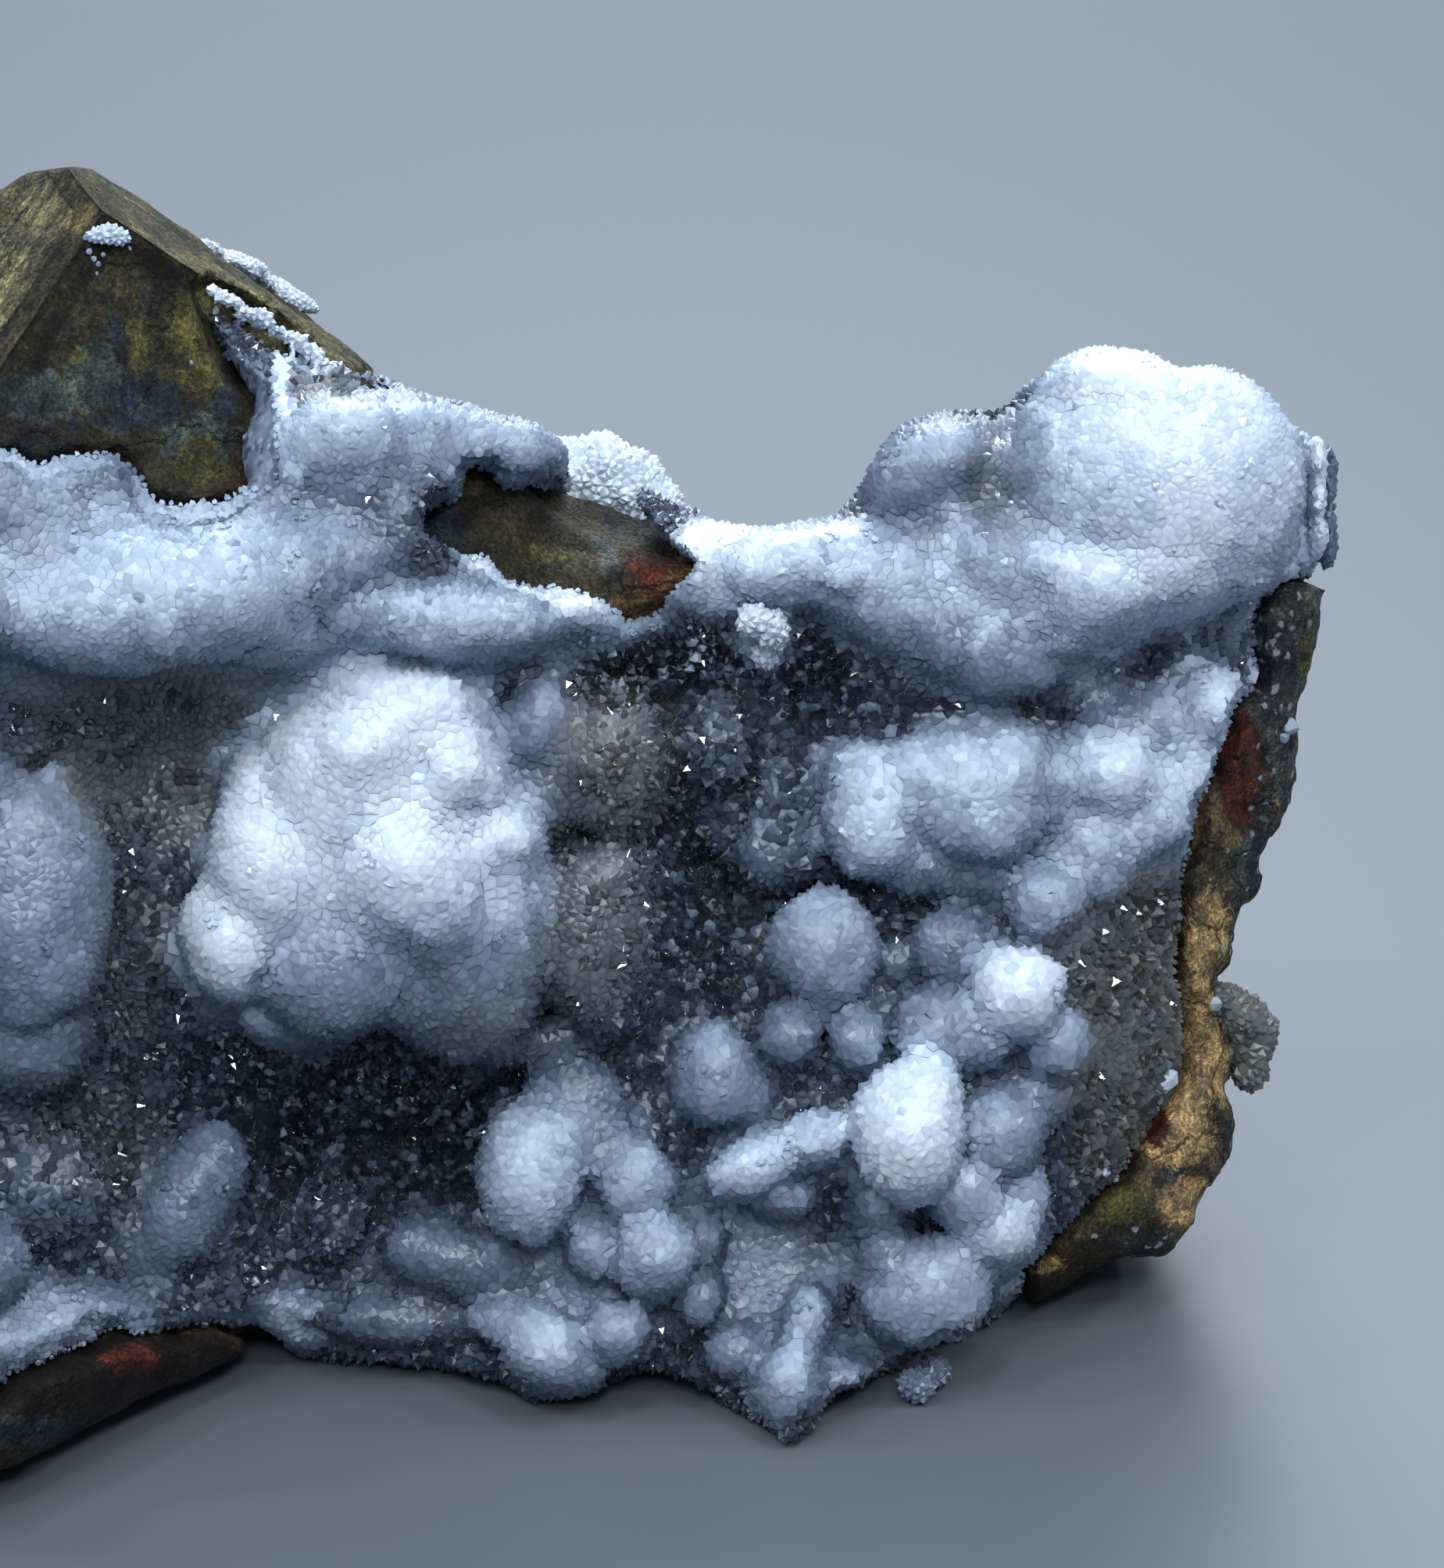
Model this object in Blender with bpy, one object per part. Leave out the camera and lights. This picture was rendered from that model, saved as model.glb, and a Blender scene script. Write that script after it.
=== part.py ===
"""Druzy quartz specimen: a chunk of brown matrix rock whose front face carries a lumpy crust of quartz crystals.

The natural shapes are solid fields: outlines and depths of a front drawing, rounded lumps set on it, and the
flat broken faces of the rock. Each piece is the surface of its field, thinned to a light closed mesh.
Sizes inside the functions are millimetres; the objects are in metres, +Z up, the crust facing -Y.
"""

import math

import bpy
import bmesh
import numpy as np

# ---------------------------------------------------------------- driving dimensions
UNIT = 0.05                 # mm per drawing unit at the reference depth
CRUST_THICKNESS = 3.0       # mm, quartz crust over the rock
CRUST_WRAP = 9.0            # mm the crust reaches back over the top edge
GAP = 0.40                  # mm kept between the rock and the quartz that sits on it
NOSE_ROUND = 1.3            # mm, rounding where the front turns into the sides
LUMP_BLEND = 0.8            # mm, fillet between neighbouring lumps
LUMP_RISE = 0.6             # mm the lumps stand out of the crust beyond their listed depth
BACK_TAPER = 0.30           # narrowing of the rock behind the front, mm per mm
CELL = 1.4                  # mm, cell of the sampling grid
ROCK_TRIANGLES = 3000
CRUST_TRIANGLES = 4600
PATCH_TRIANGLES = 170
CENTRE = (-16.665, 21.97)    # mm, middle of the footprint, which becomes x = y = 0

# ---------------------------------------------------------------- the front drawing
# Points (u, v) of the drawing, u to the right and v downwards, drawn as seen from EYE, looking PITCH downwards.
PITCH = math.radians(18.0)
COS, SIN = math.cos(PITCH), math.sin(PITCH)
FOCAL = 6000.0
MID_U, MID_V = 924.0, 1003.5
EYE = np.array([0.0, -272.15, 133.25])
FIRST_U, FIRST_V, STEP, NU, NV = -760.0, 60.0, 5.0, 521, 402

# outline of the whole specimen
OUTLINE = [(-520,760),(-470,610),(-380,480),(-250,365),(-120,292),(0,240),(35,218),(60,214),(100,212),(130,222),(160,243),(215,277),(265,318),(330,360),
 (390,405),(440,440),(505,490),(520,495),(600,525),(688,548),(708,566),(745,604),(800,622),(868,650),(930,672),(1000,690),(1060,670),(1105,640),(1120,600),(1150,565),
 (1190,535),(1230,530),(1290,525),(1310,500),(1345,480),(1380,455),(1410,447),(1470,450),(1495,472),(1550,475),(1600,495),(1620,520),(1650,550),
 (1690,570),(1706,592),(1712,625),(1704,660),(1700,740),(1693,770),(1690,800),(1678,850),(1673,880),(1662,895),(1662,930),(1660,1000),(1648,1040),(1630,1070),
 (1613,1100),(1613,1140),(1588,1158),(1580,1190),(1577,1229),(1560,1250),(1572,1300),(1580,1350),(1575,1400),(1585,1440),(1573,1480),(1548,1520),
 (1530,1564),(1495,1607),(1428,1609),(1396,1622),(1361,1647),(1307,1680),(1258,1692),(1243,1712),(1225,1729),(1154,1787),(1127,1796),(1087,1813),(1046,1834),(1026,1886),
 (1018,2030),(400,2050),(-100,2060),(-330,2040),(-430,1960),(-500,1850),(-535,1700),(-550,1450),(-555,1200),(-548,950)]
# lower lip of the front, left to right; everything below it is open space under the crust
LIP = [(-900,2300),(-260,2300),(-150,1960),(0,1881),(75,1847),(189,1784),(258,1761),(321,1732),(402,1735),(476,1741),(511,1746),(600,1751),(645,1764),(686,1787),(734,1773),
 (779,1764),(810,1748),(837,1751),(868,1755),(908,1773),(948,1809),(994,1850),(1024,1886),(1060,2300),(1900,2300),(1900,-200),(-900,-200)]
# base edge of the crust, where it meets bare rock
COVER = [(-455,1200),(-445,1000),(-400,850),(-310,745),(-190,665),(-80,605),(-30,570),(0,556),(30,566),(51,578),(75,568),(105,566),(150,560),(172,575),(190,600),(205,626),(245,634),(285,631),(303,615),(311,590),
 (313,560),(308,520),(292,480),(283,450),(272,420),(266,374),(300,386),(350,413),(400,443),(440,470),(480,478),(505,484),(530,470),(600,480),(700,500),(770,550),(930,630),(1000,650),(1080,620),(1140,530),(1290,480),(1380,420),(1500,415),(1640,480),(1704,540),
 (1684,575),(1681,652),(1694,716),(1680,741),(1657,745),(1641,749),(1615,775),(1609,802),(1607,833),(1613,850),(1612,880),(1600,890),(1584,913),(1576,940),(1561,971),(1553,1001),(1538,1036),(1532,1066),(1525,1097),(1513,1130),
 (1510,1189),(1508,1247),(1519,1288),(1514,1337),(1516,1377),(1486,1430),(1452,1479),(1440,1515),(1414,1529),(1379,1560),(1356,1582),(1338,1604),(1316,1625),(1305,1660),(1280,1700),(1240,1725),(1211,1718),(1162,1745),(1124,1772),
 (1081,1788),(1054,1820),(1034,1848),(1015,1960),(340,1960),(333,1728),(321,1709),(258,1709),(189,1718),(138,1718),(109,1741),(57,1758),(17,1772),(0,1798),(-40,1840),(-120,1872),(-230,1885),(-320,1860),(-390,1740),(-440,1500)]
# bare rock left open inside the crust
WINDOW = [(601,599),(626,599),(632,614),(653,630),(676,622),(703,630),(730,633),(737,600),(742,540),(800,540),(812,630),(826,657),(848,683),(867,702),(883,718),(871,733),(856,752),(841,779),(806,794),(783,783),(768,764),(730,756),(691,744),
 (664,740),(642,725),(622,702),(600,712),(573,700),(545,685),(540,664),(557,645),(590,640),(596,622)]
# depth of the front: u, v, depth (mm, away from the eye)
FRONT = [
 # lower edge
 (-560,1950,2),(-430,1930,-8),(-300,1935,-14),(-150,1925,-12.5),(0,1881,-9.5),(100,1830,-4),(200,1782,3),(300,1745,9),(0,1798,-12),(100,1745,-6.5),(200,1712,-1),(300,1705,5),(-150,1850,-15),(400,1735,11.8),(550,1750,9.5),(640,1765,7),(686,1789,5.8),(780,1764,7),(850,1752,7.5),
 (950,1809,3.5),(1020,1856,0.0),(1024,1885,-2.0),(1022,1800,0.6),(215,277,23),(330,360,25),(440,440,26.5),(505,490,25),(560,510,25),(100,212,21.5),(60,214,21),(0,240,21),(-120,292,22),(680,545,25),(760,600,25.5),(880,650,25.5),(1085,1813,6),(1154,1787,7.6),(1250,1695,16),(1307,1680,17.4),(1360,1647,19),(1430,1609,18),(1500,1600,19),(1573,1480,22),(1600,1430,24),(1640,1310,25),
 # lower field
 (-430,1700,-8),(-250,1750,-11),(-100,1750,-9),(60,1690,-4),(60,1540,-1),(-200,1500,-7),(180,1650,4),(300,1600,7),(250,1500,8),(420,1640,10.5),(560,1620,9.5),(640,1680,8),
 (450,1450,16.5),(560,1420,17),(300,1400,14),(180,1380,9),(90,1350,4),(60,1200,0),(60,1060,3),(20,980,5),(-80,1150,-2),(-250,1250,-5),(-430,1300,-3),(-530,1300,6),(-100,950,3),
 (180,960,12.5),(260,1010,12.5),(160,1130,10),(240,900,11),(250,770,5.5),(120,790,4.5),(0,760,2.5),(-150,820,0),(-300,900,0),(-420,1000,2),(-530,950,10),
 # upper edge, left to right
 (-480,640,16),(-380,520,14),(-250,640,6),(-250,420,12),(-120,560,4),(0,600,4),(80,600,7),(180,640,9),(300,660,10),(380,640,11.5),(340,540,12.5),(450,560,13),(440,470,18),(520,520,19),(600,560,19),(680,600,18.5),
 (560,640,16),(450,700,11),(560,760,11),(650,760,13.5),(740,790,14.5),(700,680,17.5),(830,700,18.5),(900,720,17.5),(930,700,21),(1000,720,22),(1060,740,21),(1100,680,23),(1130,620,24),
 (820,870,21),(900,850,22),(1000,880,23),(1060,860,22),(980,800,20),(1120,800,21),(1200,760,21),(1280,820,19.5),(1360,860,20),(1330,780,18),(1480,840,22.5),(1590,860,25),
 (1230,640,22.5),(1300,560,25),(1480,620,21),(1400,520,24),(1560,520,26),(1620,600,26),(1600,720,25),(1480,730,19.5),(1400,700,20),(1690,620,28),(1690,780,28),
 # middle
 (500,830,12),(620,880,13),(400,900,12),(450,1080,9),(330,1100,9),(600,1080,10),(290,1230,8),(450,1260,9),(600,1250,10),(690,1000,14),(720,900,15.5),(785,980,14),(755,1190,12.5),(690,1350,13.5),(800,1330,14.5),
 (900,980,21),(900,1100,20.5),(900,1250,18),(960,1180,18),(930,1340,14),(960,960,19.5),(990,1090,18.5),(1040,1150,20),(1120,1020,17.5),(1250,1020,17.5),(1350,1060,18.5),(1420,990,18.5),(1555,905,21),(1530,1020,22),
 (1550,960,22),(1630,900,27),(1600,1050,26),(1570,1180,25),(1480,1180,20.5),(1400,1160,17),(1335,1160,16),(1215,1215,14.5),(1055,1210,13.5),(1130,1230,15.5),(1305,1265,12.5),(1400,1280,15),(1480,1330,19),(1540,1330,23),
 (1440,1420,17.5),(1500,1450,20),(1380,1500,15.5),(1345,1340,13),(1200,1320,12),(1095,1335,11.5),(1010,1325,12),(915,1380,11),(1000,1410,11),
 # lower middle
 (680,1500,10),(620,1600,11.5),(730,1400,12),(815,1510,8.5),(840,1600,7),(790,1700,6),(700,1725,6),(900,1560,10.5),(900,1680,7),(1010,1490,8.5),(1040,1590,10),(1040,1660,7.5),(1030,1740,4),(960,1750,4.5),(1100,1720,8.5),
 (1165,1450,8),(1275,1450,10.5),(1270,1560,11.5),(1180,1650,9),(1120,1590,9.5),(1330,1600,14.5),(1400,1570,16.5),(1220,1720,16),
]
# rounded lumps: u, v, half width, half height (drawing units), depth of the centre behind the front (mm), half depth (mm), turn (degrees)
LUMPS = [
 # the big white lump
 (470,1040,150,190,2.0,8.0,-8,0.95,1.0),(520,920,112,85,1.2,7.6,0,1.0,1.0),(430,1000,95,95,0.0,6.6,0,0.95,1.0),(585,990,60,62,-1.2,5.6,0,0.95,1.0),(640,1075,60,62,0.0,5.4,0,0.9,1.0),
 (640,1150,55,60,0.8,5.0,0,0.8,1.0),(350,1110,85,110,0.5,6.6,-15,0.92,1.0),(300,1205,66,85,-0.2,5.6,-10,0.92,1.0),(430,1235,105,100,0.0,6.2,0,0.62,1.0),(590,1250,105,105,0.6,5.8,0,0.5,1.0),
 (520,1110,95,90,-0.8,6.6,0,0.9,1.0),(640,1320,58,45,1.2,4.4,0,0.42,1.0),(370,1300,80,48,1.0,5.0,8,0.6,1.0),(465,960,60,55,-1.6,6.0,0,1.0,1.0),(560,1180,60,55,-1.2,5.6,0,0.75,1.0),
 (330,1010,50,60,0.6,4.8,0,0.9,1.0),(655,1215,45,55,1.0,4.6,0,0.6,1.0),
 # beside it
 (690,920,52,60,0.5,3.0,0,0.62,0.9),(785,980,72,104,0.6,4.0,0,0.33,1.15),(705,1010,40,55,1.2,2.6,0,0.38,1.0),(755,1190,82,130,0.8,4.4,0,0.38,1.1),(780,1120,55,50,-0.2,4.0,0,0.42,1.1),(770,1260,62,70,-0.3,4.2,0,0.34,1.1),(720,1330,58,42,0.8,3.2,0,0.34,1.0),
 # middle dark lumps
 (915,960,54,66,0.8,3.2,0,0.30,0.9),(990,1090,66,62,0.8,3.6,0,0.33,1.0),(1000,1020,40,46,1.0,2.4,0,0.26,0.9),(930,1060,34,50,1.0,2.0,0,0.22,0.9),
 # double white lump
 (1120,1040,66,92,0.2,4.6,8,0.85,1.0),(1100,990,42,48,0.6,3.4,0,0.66,1.0),(1245,1020,92,84,0.2,5.0,0,0.78,1.0),(1290,985,52,52,0.4,4.2,0,0.72,1.0),(1185,1000,60,64,0.0,4.4,0,0.72,1.0),(1255,1060,62,55,-0.6,4.6,0,0.74,1.0),(1175,1110,72,48,1.4,3.8,6,0.40,1.0),(1250,1125,55,36,1.6,3.0,0,0.38,0.9),
 # group to the right of it
 (1420,990,60,56,0.4,3.4,0,0.60,1.0),(1500,1000,46,48,0.4,2.8,0,0.62,1.0),(1552,905,44,50,0.0,3.2,0,0.9,1.0),(1395,1070,52,34,0.4,2.6,-12,0.66,0.9),(1465,1060,52,34,0.3,2.6,-14,0.72,0.9),(1350,1000,36,46,0.8,2.4,0,0.5,0.9),
 (1335,1160,52,50,0.3,3.2,0,0.50,1.0),(1400,1120,42,38,0.6,2.4,0,0.46,0.9),(1540,960,34,40,0.6,2.4,0,0.66,0.9),(1470,920,42,36,0.8,2.2,0,0.5,0.9),(1400,900,46,36,0.8,2.2,0,0.36,0.9),
 # balls of the middle
 (1055,1212,72,76,0.0,4.2,0,0.66,1.0),(1215,1213,54,54,0.5,3.0,0,0.46,1.0),(1150,1235,34,40,0.9,2.0,0,0.42,0.9),(1305,1268,60,64,-0.6,4.2,0,1.0,1.25),(1350,1335,50,52,0.2,3.4,0,0.66,1.25),(1250,1330,48,48,0.4,2.8,0,0.58,1.1),(1195,1320,58,62,0.4,3.2,0,0.58,1.05),
 (1010,1325,44,50,0.3,3.0,0,0.5,1.1),(1100,1335,42,46,0.2,3.0,0,0.55,1.1),(1060,1280,36,34,0.8,2.2,0,0.42,1.0),(915,1378,56,72,0.0,3.8,-12,0.62,1.05),(960,1400,36,44,0.6,2.4,0,0.45,1.0),(1320,1410,60,44,0.9,2.4,0,0.36,1.0),
 # lower right group
 (1163,1450,76,94,-0.8,5.4,0,1.0,1.1),(1190,1395,44,44,-0.4,4.0,0,0.95,1.1),(1275,1450,60,62,0.2,3.4,0,0.64,1.0),(1235,1520,56,56,0.1,3.6,0,0.72,1.0),(1270,1565,60,58,-0.4,4.0,0,0.88,1.0),(1300,1520,40,46,0.4,2.8,0,0.66,1.0),
 (1180,1650,88,80,0.2,4.8,0,0.62,1.0),(1130,1600,40,46,0.6,3.0,0,0.55,1.0),(1230,1620,48,50,0.2,3.4,0,0.7,1.0),(1170,1710,62,40,0.8,3.4,0,0.56,1.0),(1120,1540,34,40,0.7,2.4,0,0.45,1.0),
 (970,1490,62,42,-0.2,3.8,-18,0.85,1.0),(1045,1458,50,42,-0.2,3.4,-20,0.80,1.0),(1000,1530,46,30,0.6,2.6,0,0.62,1.0),
 # lower middle group
 (680,1500,70,96,-0.8,5.2,0,0.90,1.0),(725,1455,56,56,0.2,4.2,0,0.62,1.0),(735,1400,66,50,0.7,3.6,0,0.42,1.0),(770,1460,44,60,0.8,3.0,0,0.42,1.0),(815,1515,52,62,0.1,3.6,0,0.62,1.0),(840,1605,62,66,-0.2,4.2,0,0.60,1.0),(760,1600,44,50,0.6,2.8,0,0.5,1.0),
 (700,1725,66,58,0.0,3.8,0,0.80,1.0),(790,1700,46,46,0.1,3.2,0,0.66,1.0),(745,1745,40,34,0.5,2.6,0,0.62,1.0),(900,1660,40,44,0.6,2.4,0,0.46,1.0),(900,1590,36,40,0.8,2.2,0,0.4,1.0),(640,1690,44,34,0.8,2.4,0,0.58,1.0),
 (1035,1690,34,56,-0.2,3.4,14,0.66,1.0),(1010,1770,44,70,0.4,3.6,10,0.74,1.0),(940,1730,46,44,0.8,2.6,0,0.5,1.0),(1075,1770,46,34,0.8,2.6,-20,0.52,1.0),
 # left side
 (40,1150,100,180,0.6,6.0,0,0.45,0.9),(-60,1020,90,90,0.4,5.0,0,0.5,0.9),(30,1330,85,80,0.8,4.4,0,0.42,0.9),(240,1540,58,115,0.4,3.8,32,0.42,0.9),(60,1520,90,80,0.8,3.6,0,0.42,0.9),(-40,1620,90,70,0.6,4.0,0,0.5,0.9),
 (590,1610,120,50,0.4,3.4,12,0.36,0.9),(520,1690,100,36,0.8,2.4,4,0.42,0.9),(420,1560,60,50,0.8,2.4,0,0.25,0.8),
 (220,770,150,80,0.2,4.6,-6,0.70,0.8),(90,800,90,60,0.6,3.6,0,0.62,0.8),(340,800,80,50,0.6,3.2,20,0.62,0.8),(420,720,60,46,0.4,3.0,0,0.62,0.8),(455,560,64,52,0.2,3.4,0,0.66,0.8),(330,700,50,40,0.6,2.4,0,0.6,0.8),
 (-120,800,110,80,0.4,4.8,0,0.62,0.8),(-150,1200,110,120,0.2,5.6,0,0.7,0.95),(-260,1400,90,100,0.2,5.0,0,0.55,0.95),(-330,1120,80,90,0.6,4.6,0,0.5,0.95),(-130,1480,80,80,0.4,4.4,0,0.8,1.0),(-300,1650,100,80,0.4,4.6,0,0.6,0.95),(-330,850,90,70,0.6,4.2,0,0.55,0.9),(-120,1820,120,60,0.6,3.8,0,0.6,0.95),
 # top and right dome
 (1480,620,188,170,2.2,8.4,0,0.80,0.8),(1480,520,110,62,1.0,6.6,0,0.97,0.9),(1560,560,90,70,0.8,6.2,0,0.95,0.9),(1400,500,70,50,0.8,5.6,0,0.92,0.9),(1470,745,100,52,0.3,5.4,0,0.86,0.8),(1560,700,80,70,0.6,5.8,0,0.84,0.8),(1370,640,70,80,0.8,5.2,0,0.55,0.8),
 (1620,620,52,70,0.6,4.2,0,0.9,0.9),(1620,760,44,60,0.8,3.6,0,0.7,0.9),(1400,770,66,48,0.4,4.4,0,0.66,0.8),(1290,720,70,60,0.8,4.2,10,0.62,0.8),(1210,590,60,52,0.6,4.4,0,0.72,0.8),(1150,620,40,50,0.8,3.6,0,0.6,0.8),
 (1300,850,66,44,0.6,3.4,0,0.42,0.9),(1210,820,60,46,0.8,3.2,0,0.42,0.9),(1130,760,60,60,0.6,3.8,0,0.55,0.8),(1050,710,60,44,0.6,3.6,0,0.66,0.8),(980,730,46,36,0.6,2.8,0,0.55,0.8),
 (640,575,80,44,0.6,3.4,8,0.34,0.8),(540,560,56,48,0.6,3.4,0,0.42,0.8),(520,680,52,66,0.4,3.2,0,0.36,0.8),(600,800,90,40,0.2,3.4,4,0.66,0.8),(560,790,70,44,0.6,3.2,0,0.62,0.8),
]

# small druse patches that sit on the bare rock: u, v, depth (mm), half width, half height (drawing units), half depth (mm)
PATCHES = {
    "back_druse_peak": [(292, 328, 27.5, 30, 24, 2.2), (328, 354, 28.0, 34, 26, 2.4), (368, 386, 28.5, 32, 22, 2.2)],
    "back_druse_ridge": [(730, 614, 35.5, 36, 56, 2.8), (770, 612, 35.5, 42, 58, 3.2), (812, 626, 35.5, 38, 52, 3.0), (846, 648, 35.0, 28, 36, 2.4)],
    "side_druse": [(1578, 1284, 26.0, 34, 34, 2.6), (1600, 1318, 26.5, 38, 44, 2.8), (1598, 1362, 26.5, 30, 32, 2.4)],
    "tip_chip": [(1698, 690, 29.5, 16, 40, 1.9)],
    "lower_edge_druse": [(1172, 1772, 7.8, 24, 22, 1.7), (1198, 1754, 9.6, 22, 20, 1.6)],
    "peak_druse_speck": [(136, 300, 18.9, 24, 16, 1.3)],
}


# ---------------------------------------------------------------- helpers of the drawing
def place(u, v, depth):
    """Point (mm) that shows at (u, v) and lies at this depth."""
    ahead = COS * FOCAL + (MID_V - v) * SIN
    t = (depth - EYE[1]) / ahead
    return np.array([EYE[0] + (u - MID_U) * t, depth, EYE[2] + (-SIN * FOCAL + (MID_V - v) * COS) * t], float)


def project(x, y, z):
    rx, ry, rz = x - EYE[0], y - EYE[1], z - EYE[2]
    ahead = ry * COS - rz * SIN
    return MID_U + FOCAL * rx / ahead, MID_V - FOCAL * (ry * SIN + rz * COS) / ahead


def drawing_grid():
    gu = FIRST_U + STEP * np.arange(NU)
    gv = FIRST_V + STEP * np.arange(NV)
    return np.meshgrid(gu, gv, indexing="ij")


def polygon_distance(polygon):
    """Distance to a closed outline on the drawing grid, negative inside."""
    pts = np.asarray(polygon, float)
    gu, gv = drawing_grid()
    nearest = np.full(gu.shape, 1e18)
    inside = np.zeros(gu.shape, bool)
    for a, b in zip(pts, np.roll(pts, -1, axis=0)):
        e = b - a
        t = np.clip(((gu - a[0]) * e[0] + (gv - a[1]) * e[1]) / (e @ e), 0, 1)
        nearest = np.minimum(nearest, (gu - a[0] - t * e[0]) ** 2 + (gv - a[1] - t * e[1]) ** 2)
        if a[1] != b[1]:
            inside ^= ((a[1] > gv) != (b[1] > gv)) & (gu < a[0] + (gv - a[1]) / (b[1] - a[1]) * e[0])
    return np.where(inside, -np.sqrt(nearest), np.sqrt(nearest)).astype(np.float32)


def blur(grid, passes):
    for _ in range(passes):
        p = np.pad(grid, 1, mode="edge")
        grid = (p[:-2, 1:-1] + 2 * p[1:-1, 1:-1] + p[2:, 1:-1]) / 4
        p = np.pad(grid, 1, mode="edge")
        grid = (p[1:-1, :-2] + 2 * p[1:-1, 1:-1] + p[1:-1, 2:]) / 4
    return grid


def look_up(grid, u, v):
    x = np.clip((u - FIRST_U) / STEP, 0, NU - 1.001)
    y = np.clip((v - FIRST_V) / STEP, 0, NV - 1.001)
    i, j = x.astype(int), y.astype(int)
    fx, fy = x - i, y - j
    return (grid[i, j] * (1 - fx) + grid[i + 1, j] * fx) * (1 - fy) + (grid[i, j + 1] * (1 - fx) + grid[i + 1, j + 1] * fx) * fy


def depth_map(points):
    """Smooth depth through the listed points: a sum of cones round them and a plane."""
    pts = np.array(points, float)
    c, n = pts[:, :2] / 100.0, len(pts)
    far = np.sqrt(((c[:, None] - c[None]) ** 2).sum(-1))
    a = np.zeros((n + 3, n + 3))
    a[:n, :n] = far - 0.03 * np.eye(n)
    a[:n, n] = a[n, :n] = 1
    a[:n, n + 1:] = c
    a[n + 1:, :n] = c.T
    w = np.linalg.solve(a, np.append(pts[:, 2], [0, 0, 0]))
    gu, gv = (g / 100.0 for g in drawing_grid())
    out = w[n] + w[n + 1] * gu + w[n + 2] * gv
    for (cu, cv), weight in zip(c, w):
        out += weight * np.sqrt((gu - cu) ** 2 + (gv - cv) ** 2)
    return blur(out.astype(np.float32), 4)


# ---------------------------------------------------------------- helpers of the solids
def smooth_max(a, b, k):
    h = np.clip(0.5 + 0.5 * (a - b) / k, 0, 1)
    return b * (1 - h) + a * h + k * h * (1 - h)


def smooth_min(a, b, k):
    return -smooth_max(-a, -b, k)


def ramp(start, end, x):
    t = np.clip((x - start) / (end - start), 0, 1)
    return t * t * (3 - 2 * t)


def lattice(ix, iy, iz, seed):
    h = ix.astype(np.uint32) * np.uint32(374761393) + iy.astype(np.uint32) * np.uint32(668265263)
    h = h + iz.astype(np.uint32) * np.uint32(1274126177) + np.uint32(seed * 974711)
    h = (h ^ (h >> np.uint32(13))) * np.uint32(1274126177)
    h = (h ^ (h >> np.uint32(16))) * np.uint32(2246822519)
    h = h ^ (h >> np.uint32(15))
    return h.astype(np.float32) * np.float32(2.0 / 4294967295.0) - np.float32(1.0)


def noise(x, y, z, size, seed):
    """Smooth unevenness between -1 and 1 whose bumps are about size mm wide."""
    x, y, z = (np.asarray(c, np.float32) / np.float32(size) for c in (x, y, z))
    cell = [np.floor(c) for c in (x, y, z)]
    i = [c.astype(np.int32) for c in cell]
    t = [c - f for c, f in zip((x, y, z), cell)]
    t = [c * c * c * (c * (c * 6 - 15) + 10) for c in t]
    out = 0
    for a in (0, 1):
        for b in (0, 1):
            for c in (0, 1):
                weight = (t[0] if a else 1 - t[0]) * (t[1] if b else 1 - t[1]) * (t[2] if c else 1 - t[2])
                out = out + lattice(i[0] + a, i[1] + b, i[2] + c, seed) * weight
    return out


def plane_through(a, b, c, side):
    normal = np.cross(b - a, c - a)
    normal /= np.linalg.norm(normal)
    if normal @ np.array(side, float) < 0:
        normal = -normal
    return normal, float(normal @ a)


def plane_at(normal, point):
    normal = np.array(normal, float) / np.linalg.norm(normal)
    return normal, float(normal @ np.array(point, float))


def on_plane(plane, u, v):
    ray = np.array([u - MID_U, COS * FOCAL + (MID_V - v) * SIN, -SIN * FOCAL + (MID_V - v) * COS])
    return EYE + ray * ((plane[1] - plane[0] @ EYE) / (plane[0] @ ray))


# ---------------------------------------------------------------- measured fields
FACE = depth_map(FRONT)
SIDE = polygon_distance(OUTLINE)
SIDE_SOFT = blur(SIDE, 14)
UNDER_LIP = polygon_distance(LIP)
EDGE = polygon_distance(COVER)
BARE = np.maximum(EDGE, -polygon_distance(WINDOW))
STEEP = (1 / np.sqrt(1 + blur(sum(g * g for g in np.gradient(FACE, STEP * UNIT)), 3))).astype(np.float32)

# the flat broken faces of the bare peak: front, top, the narrow ledge along its ridge, and the left
PEAK_FRONT = plane_through(place(60, 590, 10.0), place(320, 612, 15.0), place(130, 275, 16.5), (0, -1, 0))
RIDGE_TOP, RIDGE_LEFT, RIDGE_RIGHT = (on_plane(PEAK_FRONT, *p) for p in ((118, 262), (0, 452), (440, 470)))
PEAK_TOP = plane_through(RIDGE_TOP, RIDGE_RIGHT, place(300, 338, on_plane(PEAK_FRONT, 300, 385)[1] + 7.0), (0, 0, 1))
along = (RIDGE_LEFT - RIDGE_TOP) / np.linalg.norm(RIDGE_LEFT - RIDGE_TOP)
across = np.array([-0.62, -0.62, 0.45])
LEDGE = plane_at(across - along * (across @ along), RIDGE_TOP)
PEAK_LEFT = plane_through(on_plane(LEDGE, 88, 236), on_plane(LEDGE, 0, 398), place(-250, 420, 19.0), (-1, 0, 1))
PEAK = ((PEAK_FRONT, 1.0), (PEAK_TOP, 0.5), (PEAK_LEFT, 0.8), (LEDGE, 0.5))

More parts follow.
